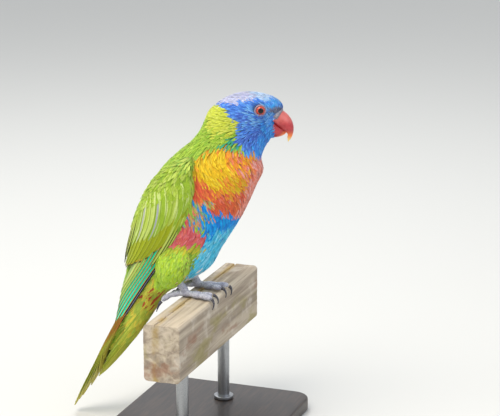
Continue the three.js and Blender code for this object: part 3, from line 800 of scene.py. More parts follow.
GREENS = ("#94c034", "#a8ca40", "#84b63c", "#b4d050")
COLLAR_TONES = ("#d2dc4c", "#dde468", "#c0cc34", "#cfd844", "#c6d650")
BLUES = ("#4c88ee", "#5c9cf8", "#4276dc", "#6cacfa", "#3c68ce")
AZURES = ("#74b4f8", "#5ca6f2", "#8cc6fb", "#4a90e8")
VIOLETS = ("#4a6ed6", "#5a86e4", "#6a9cf0", "#3c5cc0")
THROAT = ("#44a8ff", "#3498fa", "#64beff", "#448af2")
# painted highlight: the crown's lavender white stands in for light from above on the head's blue
CROWN_PAINTED_HIGHLIGHT = ("#c6c9e0", "#aeb4d8", "#94a0d4", "#dadeee", "#b4bee2", "#b6aece")
# painted highlight: the forehead's pale blue white stands in for light from above
FOREHEAD_PAINTED_HIGHLIGHT = ("#c2def6", "#98c6f4", "#80b8f0", "#d4e4fa")
LORES = ("#8a90ac", "#6b7290", "#9a9fb4", "#5f6b94")
SKY = ("#2ea6f2", "#48b6f8", "#3c94ea")
TEAL = ("#2fae88", "#3a949c", "#4ab478")
CORAL = ("#ea7a62", "#ee8c74", "#e26850", "#f0a490", "#ea7c50")
PINK = ("#ec9c90", "#f2b4aa", "#e6867a", "#eea498")
GOLD = ("#e6bc1a", "#ecce3a", "#e0a814", "#e6b610", "#eaca2a")
ORANGE = ("#ee962c", "#e8802e", "#f0a83c")
RED = ("#e2603a", "#e87444", "#d85440", "#ea8440", "#dc4e3c")
BELLY = ("#089cf4", "#068ce8", "#24aefc", "#1c74e0", "#06aef4", "#3088e8")
CYAN = ("#44ccf2", "#6cd8fa", "#98e0fa", "#24b2ee", "#74d2f6", "#2cc4ea")
FLANK = ("#54bc80", "#7cc04c", "#e0704c", "#5c94d4", "#e89c5a", "#d8b04c")
CRIMSON = ("#e2606a", "#ea8088", "#d84c56", "#e6705c")
STRAW = ("#dccc3c", "#c8b83a", "#bccc40", "#9cb838")
VENT = ("#ccde4c", "#e0e054", "#b0d454", "#ecd44c")
RUST = ("#d8623e", "#c45030")
WHITE = ("#f4f3ee", "#e2ecec")
COAT_GAIN = 0.88
SKIN_PAINTED_SHADE = 0.55  # painted shade: the skin is darker than the feathers, as it shows only between them, where shade falls


def choose(codes, rng, count, calm=0.0):
    """One of the colours for each feather, drawn towards their average by calm."""
    tones = np.array([paint(code)[:3] for code in codes])
    return tones[rng.integers(len(codes), size=count)] * (1 - calm) + tones.mean(0) * calm


def plumage(points, rng):
    """The colour of the feathers at points of the head and body, as linear red, green and blue."""
    s, turn = on_body(points)
    a = np.minimum(np.degrees(abs(turn)) + 3 * waves(points, 12 * MM, 31), 180)
    s = s + 0.12 * waves(points, 11 * MM, 32) + 0.1 * waves(points, 5 * MM, 33) * step(a, 95, 125)
    n = len(points)
    colour = choose(GREENS, rng, n, 0.35)
    clump_seeds = iter(range(400, 460))

    def lay(share, codes):
        """Gives a share of the feathers one of these colours, in small clumps."""
        order = waves(points, 6 * MM, next(clump_seeds), 2) + rng.normal(0, 0.35, n)
        chosen = np.argsort(np.argsort(order)) / n < share
        colour[chosen] = choose(codes, rng, n, 0.35)[chosen]

    def band(value, low, high, soft):
        """1 between low and high, with soft edges."""
        return step(value, low - soft, low + soft) * (1 - step(value, high - soft, high + soft))

    def patch(s0, s1, a0, a1, soft=0.25, wide=6):
        return band(s, s0, s1, soft) * band(a, a0, a1, wide)

    def between_edges(angles, upper, lower, soft=0.1):
        """The zone between two lines that are drawn from the front round to the side."""
        inside = (a > angles[0]) & (a < angles[-1])
        return inside * band(s, np.interp(a, angles, upper), np.interp(a, angles, lower), soft)

    # the collar, behind the blue of the head
    slices = (2.0, 2.3, 2.75, 3.3, 3.8, 4.6, 5.4, 5.9, 6.25, 6.6)
    blue = a < np.interp(s, slices, (181, 140, 112, 99, 88, 82, 78, 60, 36, -5))
    behind = ~blue & (s < 6.2)
    collar_end = 3.1 + 1.5 * (1 - step(a, 115, 170))
    lay(behind * (1 - step(s, collar_end - 0.4, collar_end + 0.7)), COLLAR_TONES)
    lay(behind * step(a, 60, 75) * (1 - step(a, 84, 96)) * step(s, 4.9, 5.4) * 0.7, TEAL)
    # the breast: coral in front, a golden patch at the shoulder, and red below it
    angles = (-9, 15, 33, 53, 67, 82, 92, 108)
    upper = (6.2, 6.2, 6.2, 6.15, 6.1, 6.15, 6.4, 7.1)
    breast = between_edges(angles, upper, (10.9, 10.8, 10.6, 10.4, 9.85, 9.5, 9.2, 7.6), 0.06) * ~blue
    lay(breast, CORAL)
    lay(breast * (1 - step(a, 16, 52)) * 0.5, PINK)
    lay(breast * step(s, 8.9, 9.6) * step(a, 14, 34) * 0.9, RED)
    lay(breast * step(a, 20, 34) * (1 - step(s, 8.9, 9.6)) * 0.45, ORANGE + GOLD[:1])
    angles = (36, 43, 53, 65, 72, 85, 98, 108)
    top = np.array((8.5, 8.2, 7.6, 6.75, 6.4, 6.05, 6.4, 7.0))
    lay(between_edges(angles, top - 0.3, (9.2, 9.45, 9.3, 9.1, 9.0, 8.75, 8.4, 7.6)) * 0.8, ORANGE)
    lay(between_edges((60, 72, 85, 98, 106), (8.9, 8.6, 8.2, 8.1, 8.0), (10, 9.9, 9.5, 9.2, 8.4)) * 0.9, RED)
    lay(between_edges(angles, top, (8.8, 9.1, 8.95, 8.75, 8.55, 8.2, 8.0, 7.3)), GOLD)
    lay(breast * patch(6.2, 9.0, 34, 60, 0.2, 8) * 0.42, ORANGE)
    # the belly: azure, then paler cyan down to the vent, with the flank's mixed feathers beside it
    lower = (s >= np.interp(a, (0, 33, 53, 67, 82, 100), (10.85, 10.6, 10.4, 9.85, 9.5, 9.3))) & (a < 95)
    lay(lower * (1 - step(a, 80, 90)) * (1 - step(s, 12.4, 13.0)), BELLY)
    lay(lower * step(s, 11.0, 12.4) * (1 - step(s, 14.2, 14.6)) * (1 - step(a, 44, 54)), CYAN)
    lay(patch(9.6, 11.6, 62, 100, 0.25, 10) * 0.85, FLANK)
    lay(patch(9.5, 11.6, 84, 130, 0.2) * 0.7, GREENS)
    lay(patch(10.1, 11.0, 76, 92, 0.2) * 0.25, CRIMSON)
    lay(patch(11.3, 14.2, 54, 130, 0.2), GREENS)
    angles = (44, 50, 65, 78, 88, 96)
    upper = (12, 11.9, 11.4, 11.0, 11.4, 11.8)
    lay(between_edges(angles, upper, (12, 12.3, 12.45, 12.4, 12.1, 11.8)), CRIMSON)
    lay(patch(12.4, 12.8, 46, 90, 0.12) * 0.7, STRAW)
    # the vent and the underside of the tail's root
    lay(step(s, 14.2, 14.7) * (1 - step(a, 90, 115)), VENT)
    lay(patch(14.9, 16.8, 10, 75) * 0.2, RUST)
    lay(patch(14.0, 14.7, -20, 30) * 0.7, WHITE)
    # the head: blue, paler under the eye, and lavender white over the crown and pale blue white on the
    # forehead, which is a painted highlight of light from above
    lay(blue, BLUES)
    lay(blue * patch(3.4, 6.2, 40, 95, 0.4, 10) * 0.6, VIOLETS)
    lay(blue * patch(2.3, 4.2, 18, 80, 0.3, 12) * 0.55, AZURES)
    lay(blue * patch(4.0, 7, -20, 42, 0.5, 10) * 0.7, THROAT)
    # painted highlight: the crown and forehead are made pale where light from above falls on them
    pale = 1.6 + 0.4 * step(a, 60, 110)
    lay(blue * (1 - step(s, pale - 0.3, pale + 0.45)), CROWN_PAINTED_HIGHLIGHT)
    lay(blue * patch(2.0, 2.8, -20, 50, 0.2, 8) * 0.8, SKY + AZURES)
    lay(blue * (1 - step(s, 1.6, 2.4)) * (1 - step(a, 35, 75)) * 0.9, FOREHEAD_PAINTED_HIGHLIGHT)
    lay(blue * patch(2.98, 3.35, 8, 46, 0.08, 6) * 0.9, LORES)
    shade = COAT_GAIN * np.exp(rng.normal(0, 0.07, n))[:, None]
    return (colour * shade).clip(0, 1)


def set_attribute(piece, name, kind, values):
    attribute = piece.data.attributes.new(name, kind, "POINT")
    field = {"FLOAT_COLOR": "color", "FLOAT_VECTOR": "vector"}[kind]
    attribute.data.foreach_set(field, np.asarray(values, np.float32).ravel())


def set_plumage(piece, colours):
    opaque = np.ones((*colours.shape[:-1], 1))
    set_attribute(piece, "plumage", "FLOAT_COLOR", np.concatenate([colours, opaque], -1))


# painted shade: the skin shows only between the feathers, so it takes their colours darkened
set_plumage(skin, plumage(vertices_of(skin), np.random.default_rng(1)) * SKIN_PAINTED_SHADE)
hide = Finish("feathered_skin", Roughness=0.8)
hide.colour(hide.attribute("plumage"))
hide.bump(hide.noise(hide.place(), 900, 3), 0.2 * MM, 0.6)
FLESH = ("torso", "neck", "head", "thigh_left", "thigh_right", "tail", "wing_left", "wing_right")
settle(skin, hide, "body_feathers", *FLESH)


# Each eye is a wet, round ball with a red-orange iris about a black pupil. It sits in the skull behind a ring
# of bare, wrinkled grey skin, which holds it.
EYE = {"x": 53.8 * MM, "y": 10.2 * MM, "z": 142.5 * MM, "radius": 4.4 * MM, "cornea": 0.3 * MM}
LID = {"x": 54.5 * MM, "y": 12.9 * MM, "radius": 3.7 * MM, "tube": 0.62 * MM, "fold": 0.09 * MM}
GAZE = 0.32  # how far each eye looks forwards, in radians
PUPIL, PUPIL_RIM, IRIS = 1.92, 2.04, 3.5  # radii in millimetres
TEARS = {"Coat_Weight": 0.55, "Coat_Roughness": 0.03}


def head_place(x, y, z):
    """A place of the head given before its turn, in metres."""
    return PERCH + turn_head(np.array([x, y, z]))


bare = Finish("bare_grey_skin", Roughness=0.6)
wrinkle = bare.noise(bare.place(), 1800, 3)
bare.colour("#6a6478", (wrinkle.ramp(0.35, 0.65), "#98889a"))
bare.bump(wrinkle, 0.1 * MM, 0.7)

eyes, gazes = {}, {}
for side, word in SIDES:
    eyes[side] = head_place(EYE["x"], side * EYE["y"], EYE["z"])
    ahead = np.array([math.sin(GAZE), side * math.cos(GAZE), 0])
    gazes[side] = turn_head(ahead + [NECK["axis"], 0, 0]) - [NECK["axis"], 0, 0]
    gaze = Vector(gazes[side])
    facing = gaze.to_track_quat("Z", "Y").to_euler()

    ball = primitive(
        bpy.ops.mesh.primitive_uv_sphere_add,
        "eyeball_" + word,
        segments=64,
        ring_count=40,
        radius=EYE["radius"],
        rotation=facing,
        location=eyes[side],
    )
    close_edit()
    for vertex in ball.data.vertices:
        out = (vertex.co - Vector(eyes[side])).normalized()
        vertex.co += out * EYE["cornea"] * float(step(out.dot(gaze), 0.72, 1.0))
    ball.data.shade_smooth()

    wet = Finish("wet_eye_" + word, Roughness=0.2, Specular_IOR_Level=0.15, **TEARS)
    offset = wet.place(move=tuple(-eyes[side]))
    from_axis = wet.node("VectorMath", {"operation": "CROSS_PRODUCT"}, {0: offset, 1: tuple(gazes[side])})
    from_axis = wet.length(from_axis) / MM
    fibres = wet.noise(wet.place(), 1500, 3)
    iris = wet.layers(
        "#a83427",
        (fibres.ramp(0.3, 0.7), "#cc553c"),
        (from_axis.ramp(PUPIL_RIM + 0.06, PUPIL_RIM - 0.06), "#6a4a50"),
        (from_axis.ramp(IRIS - 0.35, IRIS), "#3c1712"),
    )
    wet.colour("#050505", (from_axis.ramp(PUPIL - 0.04, PUPIL + 0.04), iris))
    settle(ball, wet, "eye_surface", "eye_" + word)

    lid = primitive(
        bpy.ops.mesh.primitive_torus_add,
        "eyelid_" + word,
        major_segments=72,
        minor_segments=14,
        major_radius=LID["radius"],
        minor_radius=LID["tube"],
        rotation=facing,
        location=head_place(LID["x"], side * LID["y"], EYE["z"]),
    )
    close_edit()
    folds = waves(vertices_of(lid), 1.6 * MM, 41 + side)
    for vertex, fold in zip(lid.data.vertices, folds):
        vertex.co += vertex.normal * LID["fold"] * fold
    lid.data.shade_smooth()
    settle(lid, bare, "cere_skin")


# The bill is smooth coral horn with a gloss. The upper half hooks over the lower one and turns orange and
# yellow at its tip and cutting edge. Lines of growth run round both halves.
MAXILLA = MM * np.array([
    # upper point, lower point and half width of each slice, before the head's turn
    (58, 141.5, 57, 133.5, 7),
    (66.4, 141, 62.4, 133.2, 7),
    (71, 138.5, 65.6, 130.7, 6.4),
    (74.5, 134, 68.7, 128.2, 5.2),
    (76.1, 128.9, 71, 126, 3.7),
    (75.8, 124.4, 72.1, 123.5, 2.3),
    (74.5, 120.7, 71.9, 121, 1.3),
    (72.7, 118, 72.3, 118, 0.25),
])
MANDIBLE = MM * np.array([
    (57, 133.5, 56.5, 121, 5.8),
    (62.2, 133, 60.8, 120.7, 5.6),
    (65.4, 130.5, 64.6, 121, 4.9),
    (68.4, 128, 67.6, 121.9, 3.7),
    (70.5, 126.2, 70.1, 123.3, 2.2),
    (71.3, 125.4, 71.3, 125, 0.4),
])
# the share of a slice's height, from the top, at which each half is widest
TOMIUM = 0.74
GONYS = 0.3
RIDGE = 0.25 * MM
UPPER_LIP = 0.9 * MM
LOWER_LIP = 0.5 * MM
BILL_TIP = head_place(72.5 * MM, 0, 118.5 * MM)


def bill_points(slices, widest, u, s, lift=0.0):
    """Points of the bill: u goes round from the top, s counts slices from the root."""
    ax, az, bx, bz, half = columns(slices, s)
    a = 2 * math.pi * u
    length = np.hypot(ax - bx, az - bz)
    part = np.where(np.cos(a) > 0, widest, 1 - widest) * length + lift
    down = widest * length - part * np.cos(a)
    x = ax + (bx - ax) * down / length
    z = az + (bz - az) * down / length
    y = (half + lift) * np.sign(np.sin(a)) * abs(np.sin(a)) ** 0.92
    return PERCH + turn_head(np.stack([x, y, z], -1))


def upper_bill(u, v):
    s = (len(MAXILLA) - 1) * v
    ridge = RIDGE * np.exp(-((np.minimum(u, 1 - u) / 0.04) ** 2)) * step(s, 1.5, 3) * (1 - step(s, 5.5, 7))
    lip = UPPER_LIP * step(abs(u - 0.5), 0.25, 0.1) * (1 - step(s, 4.0, 5.0))
    return bill_points(MAXILLA, TOMIUM, u, s, ridge + lip)


def lower_bill(u, v):
    lip = LOWER_LIP * step(abs(u - 0.5), 0.25, 0.4) * (1 - step(v, 0.75, 0.95))
    return bill_points(MANDIBLE, GONYS, u, (len(MANDIBLE) - 1) * v, lip)


coral = Finish("coral_bill_horn", Roughness=0.3, Coat_Weight=0.3, Coat_Roughness=0.15)
from_tip = coral.place(move=tuple(-BILL_TIP))
to_tip = coral.length(from_tip) / MM
height = coral.axes(from_tip)[2] / MM
cloud = coral.noise(coral.place(), 320, 3)
growth = coral.noise(coral.place(scale=(1, 0.25, 1)), 900, 2)
coral.colour(
    "#a2242a",
    (cloud.ramp(0.3, 0.7), "#b8363c"),
    ((height + cloud * 3).ramp(13.5, 19) * 0.36, "#e58a7c"),
    ((to_tip + cloud * 4).ramp(11.5, 6.5), "#ee7a2c"),
    ((to_tip + cloud * 2.5).ramp(6.5, 2.5), "#f6cf7a"),
)
coral.bump(growth, 0.06 * MM, 0.5)
settle(wrapped("upper_bill", 72, 110, upper_bill), coral, "bill_horn", "bill_upper")
settle(wrapped("lower_bill", 60, 80, lower_bill), coral, "bill_horn", "bill_lower")


# The cere is a saddle of soft, pale skin over the root of the upper bill, grown to both. The nostrils open
# through it, one on each side, darkened with painted shade.
CERE_LIFT = 1.5 * MM
CERE_END = 1.5
NOSTRIL = {"x": 69 * MM, "y": 4.6 * MM, "z": 141.4 * MM, "radius": 1.15 * MM, "depth": 1.0 * MM}
nostrils = [head_place(NOSTRIL["x"], side * NOSTRIL["y"], NOSTRIL["z"]) for side, _ in SIDES]


def cere_shape(u, v):
    saddle = step(np.cos(2 * math.pi * u), -0.05, 0.35) * step(1 - v, 0, 0.22)
    lift = CERE_LIFT * (1.25 * saddle - 0.25)
    points = bill_points(MAXILLA, TOMIUM, u, CERE_END * v, lift)
    inner = bill_points(MAXILLA, TOMIUM, u, CERE_END * v, -CERE_LIFT)
    for place in nostrils:
        near = 1 - step(np.linalg.norm(points - place, axis=-1) / NOSTRIL["radius"], 0.4, 1.25)
        points += unit(inner - points) * (near * NOSTRIL["depth"])[:, None]
    return points


soft = Finish("pale_cere_skin", Roughness=0.55)
speck = soft.noise(soft.place(), 1300, 4)
holes = [soft.length(soft.place(move=tuple(-place))) / MM for place in nostrils]
tone = soft.layers("#6c6974", (speck.ramp(0.3, 0.7), "#94919c"))
# painted shade: dark in and around each nostril, for the shade inside the opening
soft.colour(tone, *((hole.ramp(1.35, 0.75), "#2a2224") for hole in holes))
soft.bump(speck, 0.12 * MM, 0.6)
settle(wrapped("cere_saddle", 120, 60, cere_shape), soft, "cere_skin", "cere")


# The coat is of real feathers, each a thin vane that lies on the next ones' roots and is set in the skin by
# its quill. They start small at the bill, lie back over the head and down the body, and are larger below.
VANE_ALONG = np.array([0, 0.28, 0.58, 0.84, 1.0])
VANE_WIDE = np.array([0.45, 0.92, 1.0, 0.66, 0.1])
VANE_RIDGE = 0.12  # the shaft's height against the half width
PAINTED_ROOT_SHADE = 0.62  # the root's colour against the tip's, darker as painted shade where the feathers above cover it
BILL_ROOT = head_place(60 * MM, 0, 134 * MM)
OPENING = {"out": 3.2 * MM, "root": 4.25 * MM, "tip": 4.1 * MM}  # the bare ring that the eyelids leave free
UNDER_THIGH = 1.2 * MM  # the depth under a thigh where none grow
UV_PATCH = 0.003  # the size of one feather's place on the flat map
SCATTER_ROWS, SCATTER_COLUMNS = 140, 160


def flat_on(normals, ways):
    """The ways without what leaves the surface."""
    return unit(ways - normals * dot(ways, normals)[:, None])


def spread(points, apart, rng):
    """Picks points in a chance order so that no two are nearer than their distance apart."""
    apart = np.broadcast_to(apart, len(points))
    size = apart.max()
    cells, kept = {}, []
    around = [(i, j, k) for i in (-1, 0, 1) for j in (-1, 0, 1) for k in (-1, 0, 1)]
    keys = np.floor(points / size).astype(int)
    for i in rng.permutation(len(points)):
        x, y, z = keys[i]
        p, least = points[i], apart[i] ** 2
        near = (q for dx, dy, dz in around for q in cells.get((x + dx, y + dy, z + dz), ()))
        if all((p[0] - q[0]) ** 2 + (p[1] - q[1]) ** 2 + (p[2] - q[2]) ** 2 > least for q in near):
            cells.setdefault((x, y, z), []).append(tuple(p))
            kept.append(i)
    return np.array(kept)


def only(chosen, *values):
    """The chosen entries of each array."""
    return [value[chosen] for value in values]


def scatter(shape, first, second, count, rng):
    """Chance points on a surface, as many in each part as its area asks: points and their two parameters."""
    rows, columns = SCATTER_ROWS, SCATTER_COLUMNS
    p = grid_of(shape, np.linspace(*first, rows), np.linspace(*second, columns))
    area = np.linalg.norm(np.cross(p[1:, :-1] - p[:-1, :-1], p[:-1, 1:] - p[:-1, :-1]), axis=-1).ravel()
    cell = rng.choice(len(area), size=count, p=area / area.sum())
    row, column = np.divmod(cell, columns - 1)
    u = first[0] + (row + rng.random(count)) * ((first[1] - first[0]) / (rows - 1))
    v = second[0] + (column + rng.random(count)) * ((second[1] - second[0]) / (columns - 1))
    return shape(u, v), u, v


def linked(name, mesh):
    piece = bpy.data.objects.new(name, mesh)
    bpy.context.scene.collection.objects.link(piece)
    return piece


def unwrapped(mesh, places):
    """Gives each vertex's place on the flat map to the corners of its faces."""
    loops = np.empty(len(mesh.loops), int)
    mesh.loops.foreach_get("vertex_index", loops)
    mesh.uv_layers.new(name="OFBake").data.foreach_set("uv", places[loops].ravel())


DOWNY = {"Specular_IOR_Level": 0.2, "Sheen_Weight": 0.06, "Sheen_Roughness": 0.4}
fine_barbs = Finish("fine_feathers", Roughness=0.62, **DOWNY)
vane = fine_barbs.attribute("vane", 1)
barbs_place = fine_barbs.node("Mapping", None, {"Vector": vane, "Scale": (2.2, 1.6, 60)})
barbs = fine_barbs.noise(barbs_place, 1.0, 3, 0.6, 0.3)
own = fine_barbs.attribute("plumage")
light = fine_barbs.blend(barbs.ramp(0.5, 0.75) * 0.9, own, "#ffffff", "SOFT_LIGHT")
shadow = (0.3, 0.28, 0.28, 1)
fine_barbs.colour(fine_barbs.blend(barbs.ramp(0.5, 0.28) * 0.27, light, shadow, "MULTIPLY"))
fine_barbs.bump(barbs, 0.12 * MM, 0.6)


def feather_coat(name, slot, form, roots, ways, sizes, colours, flat, rng, sway=0.16):
    """One mesh of feathers. Each starts at its root and lies its own way along the form. The sizes are its
    length and half width, and its heights over the form at its root and its tip."""
    length, half, low, high = sizes
    count, rows = len(roots), len(VANE_ALONG)
    here, normals = form.snap(roots)
    angle = rng.normal(0, sway, count)[:, None]
    ways = flat_on(normals, ways)
    ways = ways * np.cos(angle) + np.cross(normals, ways) * np.sin(angle)
    tall = high * rng.uniform(0.75, 1.25, count)
    points = np.empty((count, rows, 3, 3))
    for r in range(rows):
        ahead = flat_on(normals, ways)
        aside = np.cross(normals, ahead)
        rise = low + (tall - low) * VANE_ALONG[r] ** 0.8
        wide = half * VANE_WIDE[r]
        points[:, r, 1] = here + normals * (rise + VANE_RIDGE * wide)[:, None]
        for across in (-1, 1):
            spot, out = form.snap(here + aside * (across * wide)[:, None])
            points[:, r, 1 + across] = spot + out * rise[:, None]
        if r + 1 < rows:
            here, normals = form.snap(here + ahead * (length * (VANE_ALONG[r + 1] - VANE_ALONG[r]))[:, None])

    base = np.arange(rows * 3).reshape(rows, 3)
    quads = []
    for (a, b, c), (d, e, f) in zip(base, base[1:]):
        quads += [(a, b, e, d), (b, c, f, e), (c, a, d, f)]
    ends = [base[0, ::-1], base[-1]]
    starts = (np.arange(count) * rows * 3)[:, None, None]
    loops = np.concatenate([(np.array(faces)[None] + starts).ravel() for faces in (quads, ends)])
    sizes = np.concatenate([np.full(count * len(quads), 4), np.full(count * len(ends), 3)])
    mesh = bpy.data.meshes.new(name)
    mesh.vertices.add(count * rows * 3)
    mesh.vertices.foreach_set("co", points.ravel())
    mesh.loops.add(len(loops))
    mesh.loops.foreach_set("vertex_index", loops)
    mesh.polygons.add(len(sizes))
    mesh.polygons.foreach_set("loop_start", np.concatenate([[0], np.cumsum(sizes)[:-1]]))
    mesh.update(calc_edges=True)
    mesh.validate()
    piece = linked(name, mesh)
    mesh.shade_smooth()
    mesh.set_sharp_from_angle(angle=math.radians(70))

    along = np.broadcast_to(VANE_ALONG[None, :, None], (count, rows, 3))
    across = np.broadcast_to(np.array([-1.0, 0, 1])[None, None], (count, rows, 3))
    chance = np.broadcast_to(rng.random(count)[:, None, None], (count, rows, 3))
    set_attribute(piece, "vane", "FLOAT_VECTOR", np.stack([across, along, chance], -1))
    # painted shade: each feather darkens towards its root, which the ones above it cover, and it is a little
    # darker towards both edges
    tint = (PAINTED_ROOT_SHADE + (1 - PAINTED_ROOT_SHADE) * along) * (1 - 0.06 * abs(across))
    set_plumage(piece, (colours[:, None, None, :] * tint[..., None]).clip(0, 1))
    spot = flat[:, None, None, :] * (1 - UV_PATCH) + UV_PATCH * np.stack([across + 1, 2 * along], -1) / 2
    unwrapped(mesh, spot.reshape(-1, 2))
    settle(piece, fine_barbs, slot)


def body_ways(points, s, turn):
    """The lie of the feathers: away from the bill on the head, and down the body below the neck."""
    a = np.degrees(abs(turn))
    away = unit(points - BILL_ROOT)
    ahead = 0.7 - 0.35 * step(s, 8.4, 10) - 1.1 * step(s, 10, 12) - 1.2 * step(a, 92, 125)
    down = unit(np.stack([ahead, np.zeros(len(points)), -np.ones(len(points))], -1))
    share = step(s + 0.6 * step(a, 90, 40), 4.6, 7.0)[:, None]
    return unit(away * (1 - share) + down * share)


def hidden(points, depth):
    """True for roots that lie this deep under a wing, or under a thigh."""
    covers = [(form, depth) for form in wing_forms.values()]
    covers += [(form, UNDER_THIGH) for form in thigh_forms.values()]
    return np.any([form.covers(points, deep) for form, deep in covers], axis=0)


def to_eyes(points):
    """From each point to the middle of each eye's opening."""
    return [eyes[side] + gazes[side] * OPENING["out"] - points for side in eyes]


COAT_PARTS = {
    # name: slot, surface, first and last slice, first and last turn from the front in degrees, how far apart,
    # length, half width, height at the tip, depth under a wing where none grow, and how many places are tried
    "head_coat": ("head_feathers", trunk_form, (0.02, 5.6), (0, 180), 0.8, 4.8, 0.46, 0.12, 3.2, 110000),
    "neck_coat": ("neck_feathers", whole_form, (5.6, 8.0), (0, 116), 0.98, 8.0, 0.6, 0.15, 3.2, 60000),
    "body_coat": ("body_feathers", leg_form, (8.0, 14.2), (0, 180), 1.12, 9.5, 0.74, 0.15, 3.2, 140000),
    "vent_coat": ("tail_feathers", trunk_form, (14.2, 19.0), (0, 180), 1.7, 13.0, 1.4, 0.1, 6.5, 30000),
    "mantle_coat": ("body_feathers", trunk_form, (5.6, 8.0), (116, 180), 0.98, 8.0, 0.6, 0.15, 3.2, 60000),
}
ROOT_DEPTH = -0.9 * MM
for number, (name, row) in enumerate(COAT_PARTS.items()):
    slot, form, span, turns, apart, length, half, high, deep, tries = row
    rng = np.random.default_rng(100 + number)
    roots, s, turn = scatter(sleeve, span, (-math.pi, math.pi), tries, rng)
    around = np.degrees(abs(turn))
    roots, s, turn = only((around >= turns[0]) & (around <= turns[1]), roots, s, turn)
    growing = 1 + 0.45 * (s - span[0]) / (span[1] - span[0])
    if name == "head_coat":
        growing = 0.72 + 0.5 * step(np.linalg.norm(roots - BILL_ROOT, axis=1), 4 * MM, 34 * MM)
    roots, s, turn, growing = only(spread(roots, apart * MM * growing, rng), roots, s, turn, growing)
    roots, s, turn, growing = only(~hidden(roots, deep * MM), roots, s, turn, growing)
    if name == "head_coat":
        room = np.min([np.linalg.norm(way, axis=1) for way in to_eyes(roots)], 0)
        roots, s, turn, growing = only(room > OPENING["root"], roots, s, turn, growing)
    lengths = length * MM * growing * rng.uniform(0.85, 1.15, len(roots))
    ways = body_ways(roots, s, turn)
    if name == "head_coat":
        for to_eye in to_eyes(roots):
            room = np.linalg.norm(to_eye, axis=1)
            cut = np.minimum(lengths, (room - OPENING["tip"]).clip(1.2 * MM))
            lengths = np.where(dot(to_eye, ways) > 0.5 * room, cut, lengths)
    shown = roots + ways * (lengths * 0.6)[:, None]
    flat = np.stack([turn / (2 * math.pi) + 0.5, s / 20], -1)
    sizes = (lengths, half * MM * growing, ROOT_DEPTH, high * MM)
    feather_coat(name, slot, form, roots, ways, sizes, plumage(shown, rng), flat, rng)


# The smallest feathers grow at the bill's root. They start in the skin's edge on the horn itself, and lie
# over the seam between the two.
FACE = {"apart": 0.75 * MM, "half": 0.42 * MM, "lift": 0.3 * MM, "tries": 4000}


class FaceForm:
    """The trunk's surface and, where it stands out of the trunk, the horn's."""

    def __init__(self, horns):
        self.horn = Form(horns)

    def snap(self, points):
        places, normals = trunk_form.snap(points)
        horn_places, horn_normals = self.horn.snap(points)
        ground, up = trunk_form.snap(horn_places)
        out = dot(horn_places - ground, up) > 0
        nearer = np.linalg.norm(horn_places - points, axis=1) < np.linalg.norm(places - points, axis=1)
        chosen = (out & nearer)[:, None]
        return np.where(chosen, horn_places, places), np.where(chosen, horn_normals, normals)


def upper_root(s, u):
    return bill_points(MAXILLA, TOMIUM, u, s, FACE["lift"])


def lower_root(s, u):
    return bill_points(MANDIBLE, GONYS, u, s, FACE["lift"])


rng = np.random.default_rng(110)
round_bill = np.linspace(0, 1, 61)
face = FaceForm([grid_of(root, np.linspace(0, 2.2, 30), round_bill) for root in (upper_root, lower_root)])
over, s_over, u_over = scatter(upper_root, (0.1, 1.1), (0, 1), FACE["tries"], rng)
at_side = step(abs(u_over - 0.5), 0.42, 0.3)
under, _, _ = scatter(lower_root, (0.1, 1.7), (0, 1), FACE["tries"], rng)
roots = np.concatenate([over[s_over < 0.62 + 0.45 * at_side], under])
roots = roots[spread(roots, FACE["apart"], rng)]
count = len(roots)
ways = unit(np.stack([-np.ones(count), 0.4 * np.sign(roots[:, 1]), np.full(count, -0.3)], -1))
sizes = (rng.uniform(3.6, 4.8, count) * MM, np.full(count, FACE["half"]), -FACE["lift"], FACE["lift"])
flat = np.stack([roots[:, 1] / (20 * MM) + 0.5, (roots[:, 2] - BILL_ROOT[2]) / (40 * MM) + 0.5], -1)
colours = plumage(roots + ways * 4 * MM, rng)
feather_coat("face_coat", "head_feathers", face, roots, ways, sizes, colours, flat, rng)


# The thighs wear short, loose feathers of lime green that hang from the skin over the heel. Their front edge
# is speckled with brown and straw.
LIMES = ("#acd43c", "#a0cc3c", "#bcdc50", "#b4d434", "#a2c84c")
SPECKS = ("#a08a3c", "#c8c05c", "#7d6a3a", "#d8d08a")
THIGH_COAT = {"apart": 1.35 * MM, "half": 0.85 * MM, "tip": 0.15 * MM, "tries": 6000, "sway": 0.26}
SPECKLED = {"from": 0.0, "to": 4.5 * MM, "share": 0.5}  # how far forwards the specks start, and how many

for side, word in SIDES:
    rng = np.random.default_rng(120 + side)
    around = (0, 2 * math.pi)
    roots, s, turn = scatter(lambda s, a: thigh(side, s, a), (0.0, 3.9), around, THIGH_COAT["tries"], rng)
    roots, s, turn = only(spread(roots, THIGH_COAT["apart"], rng), roots, s, turn)
    count = len(roots)
    down = np.broadcast_to([-0.35, 0.0, -1.0], roots.shape)
    lengths = rng.uniform(7, 10, count) * MM * (1 + 0.3 * step(s, 1.6, 3.0))
    colours = choose(LIMES, rng, count)
    forwards = step(roots[:, 0] - PERCH[0], SPECKLED["from"], SPECKLED["to"])
    fleck = rng.random(count) < forwards * SPECKLED["share"]
    colours[fleck] = choose(SPECKS, rng, count)[fleck]
    # painted light: the lower feathers of the thigh are brightened against the shade that falls there
    colours *= (1 + 0.4 * step(s, 1.4, 3.4))[:, None]
    flat = np.stack([turn / (2 * math.pi), s / 4], -1)
    sizes = (lengths, np.full(count, THIGH_COAT["half"]), ROOT_DEPTH, THIGH_COAT["tip"])
    name, sway = "thigh_coat_" + word, THIGH_COAT["sway"]
    feather_coat(name, "thigh_feathers", leg_form, roots, down, sizes, colours, flat, rng, sway)


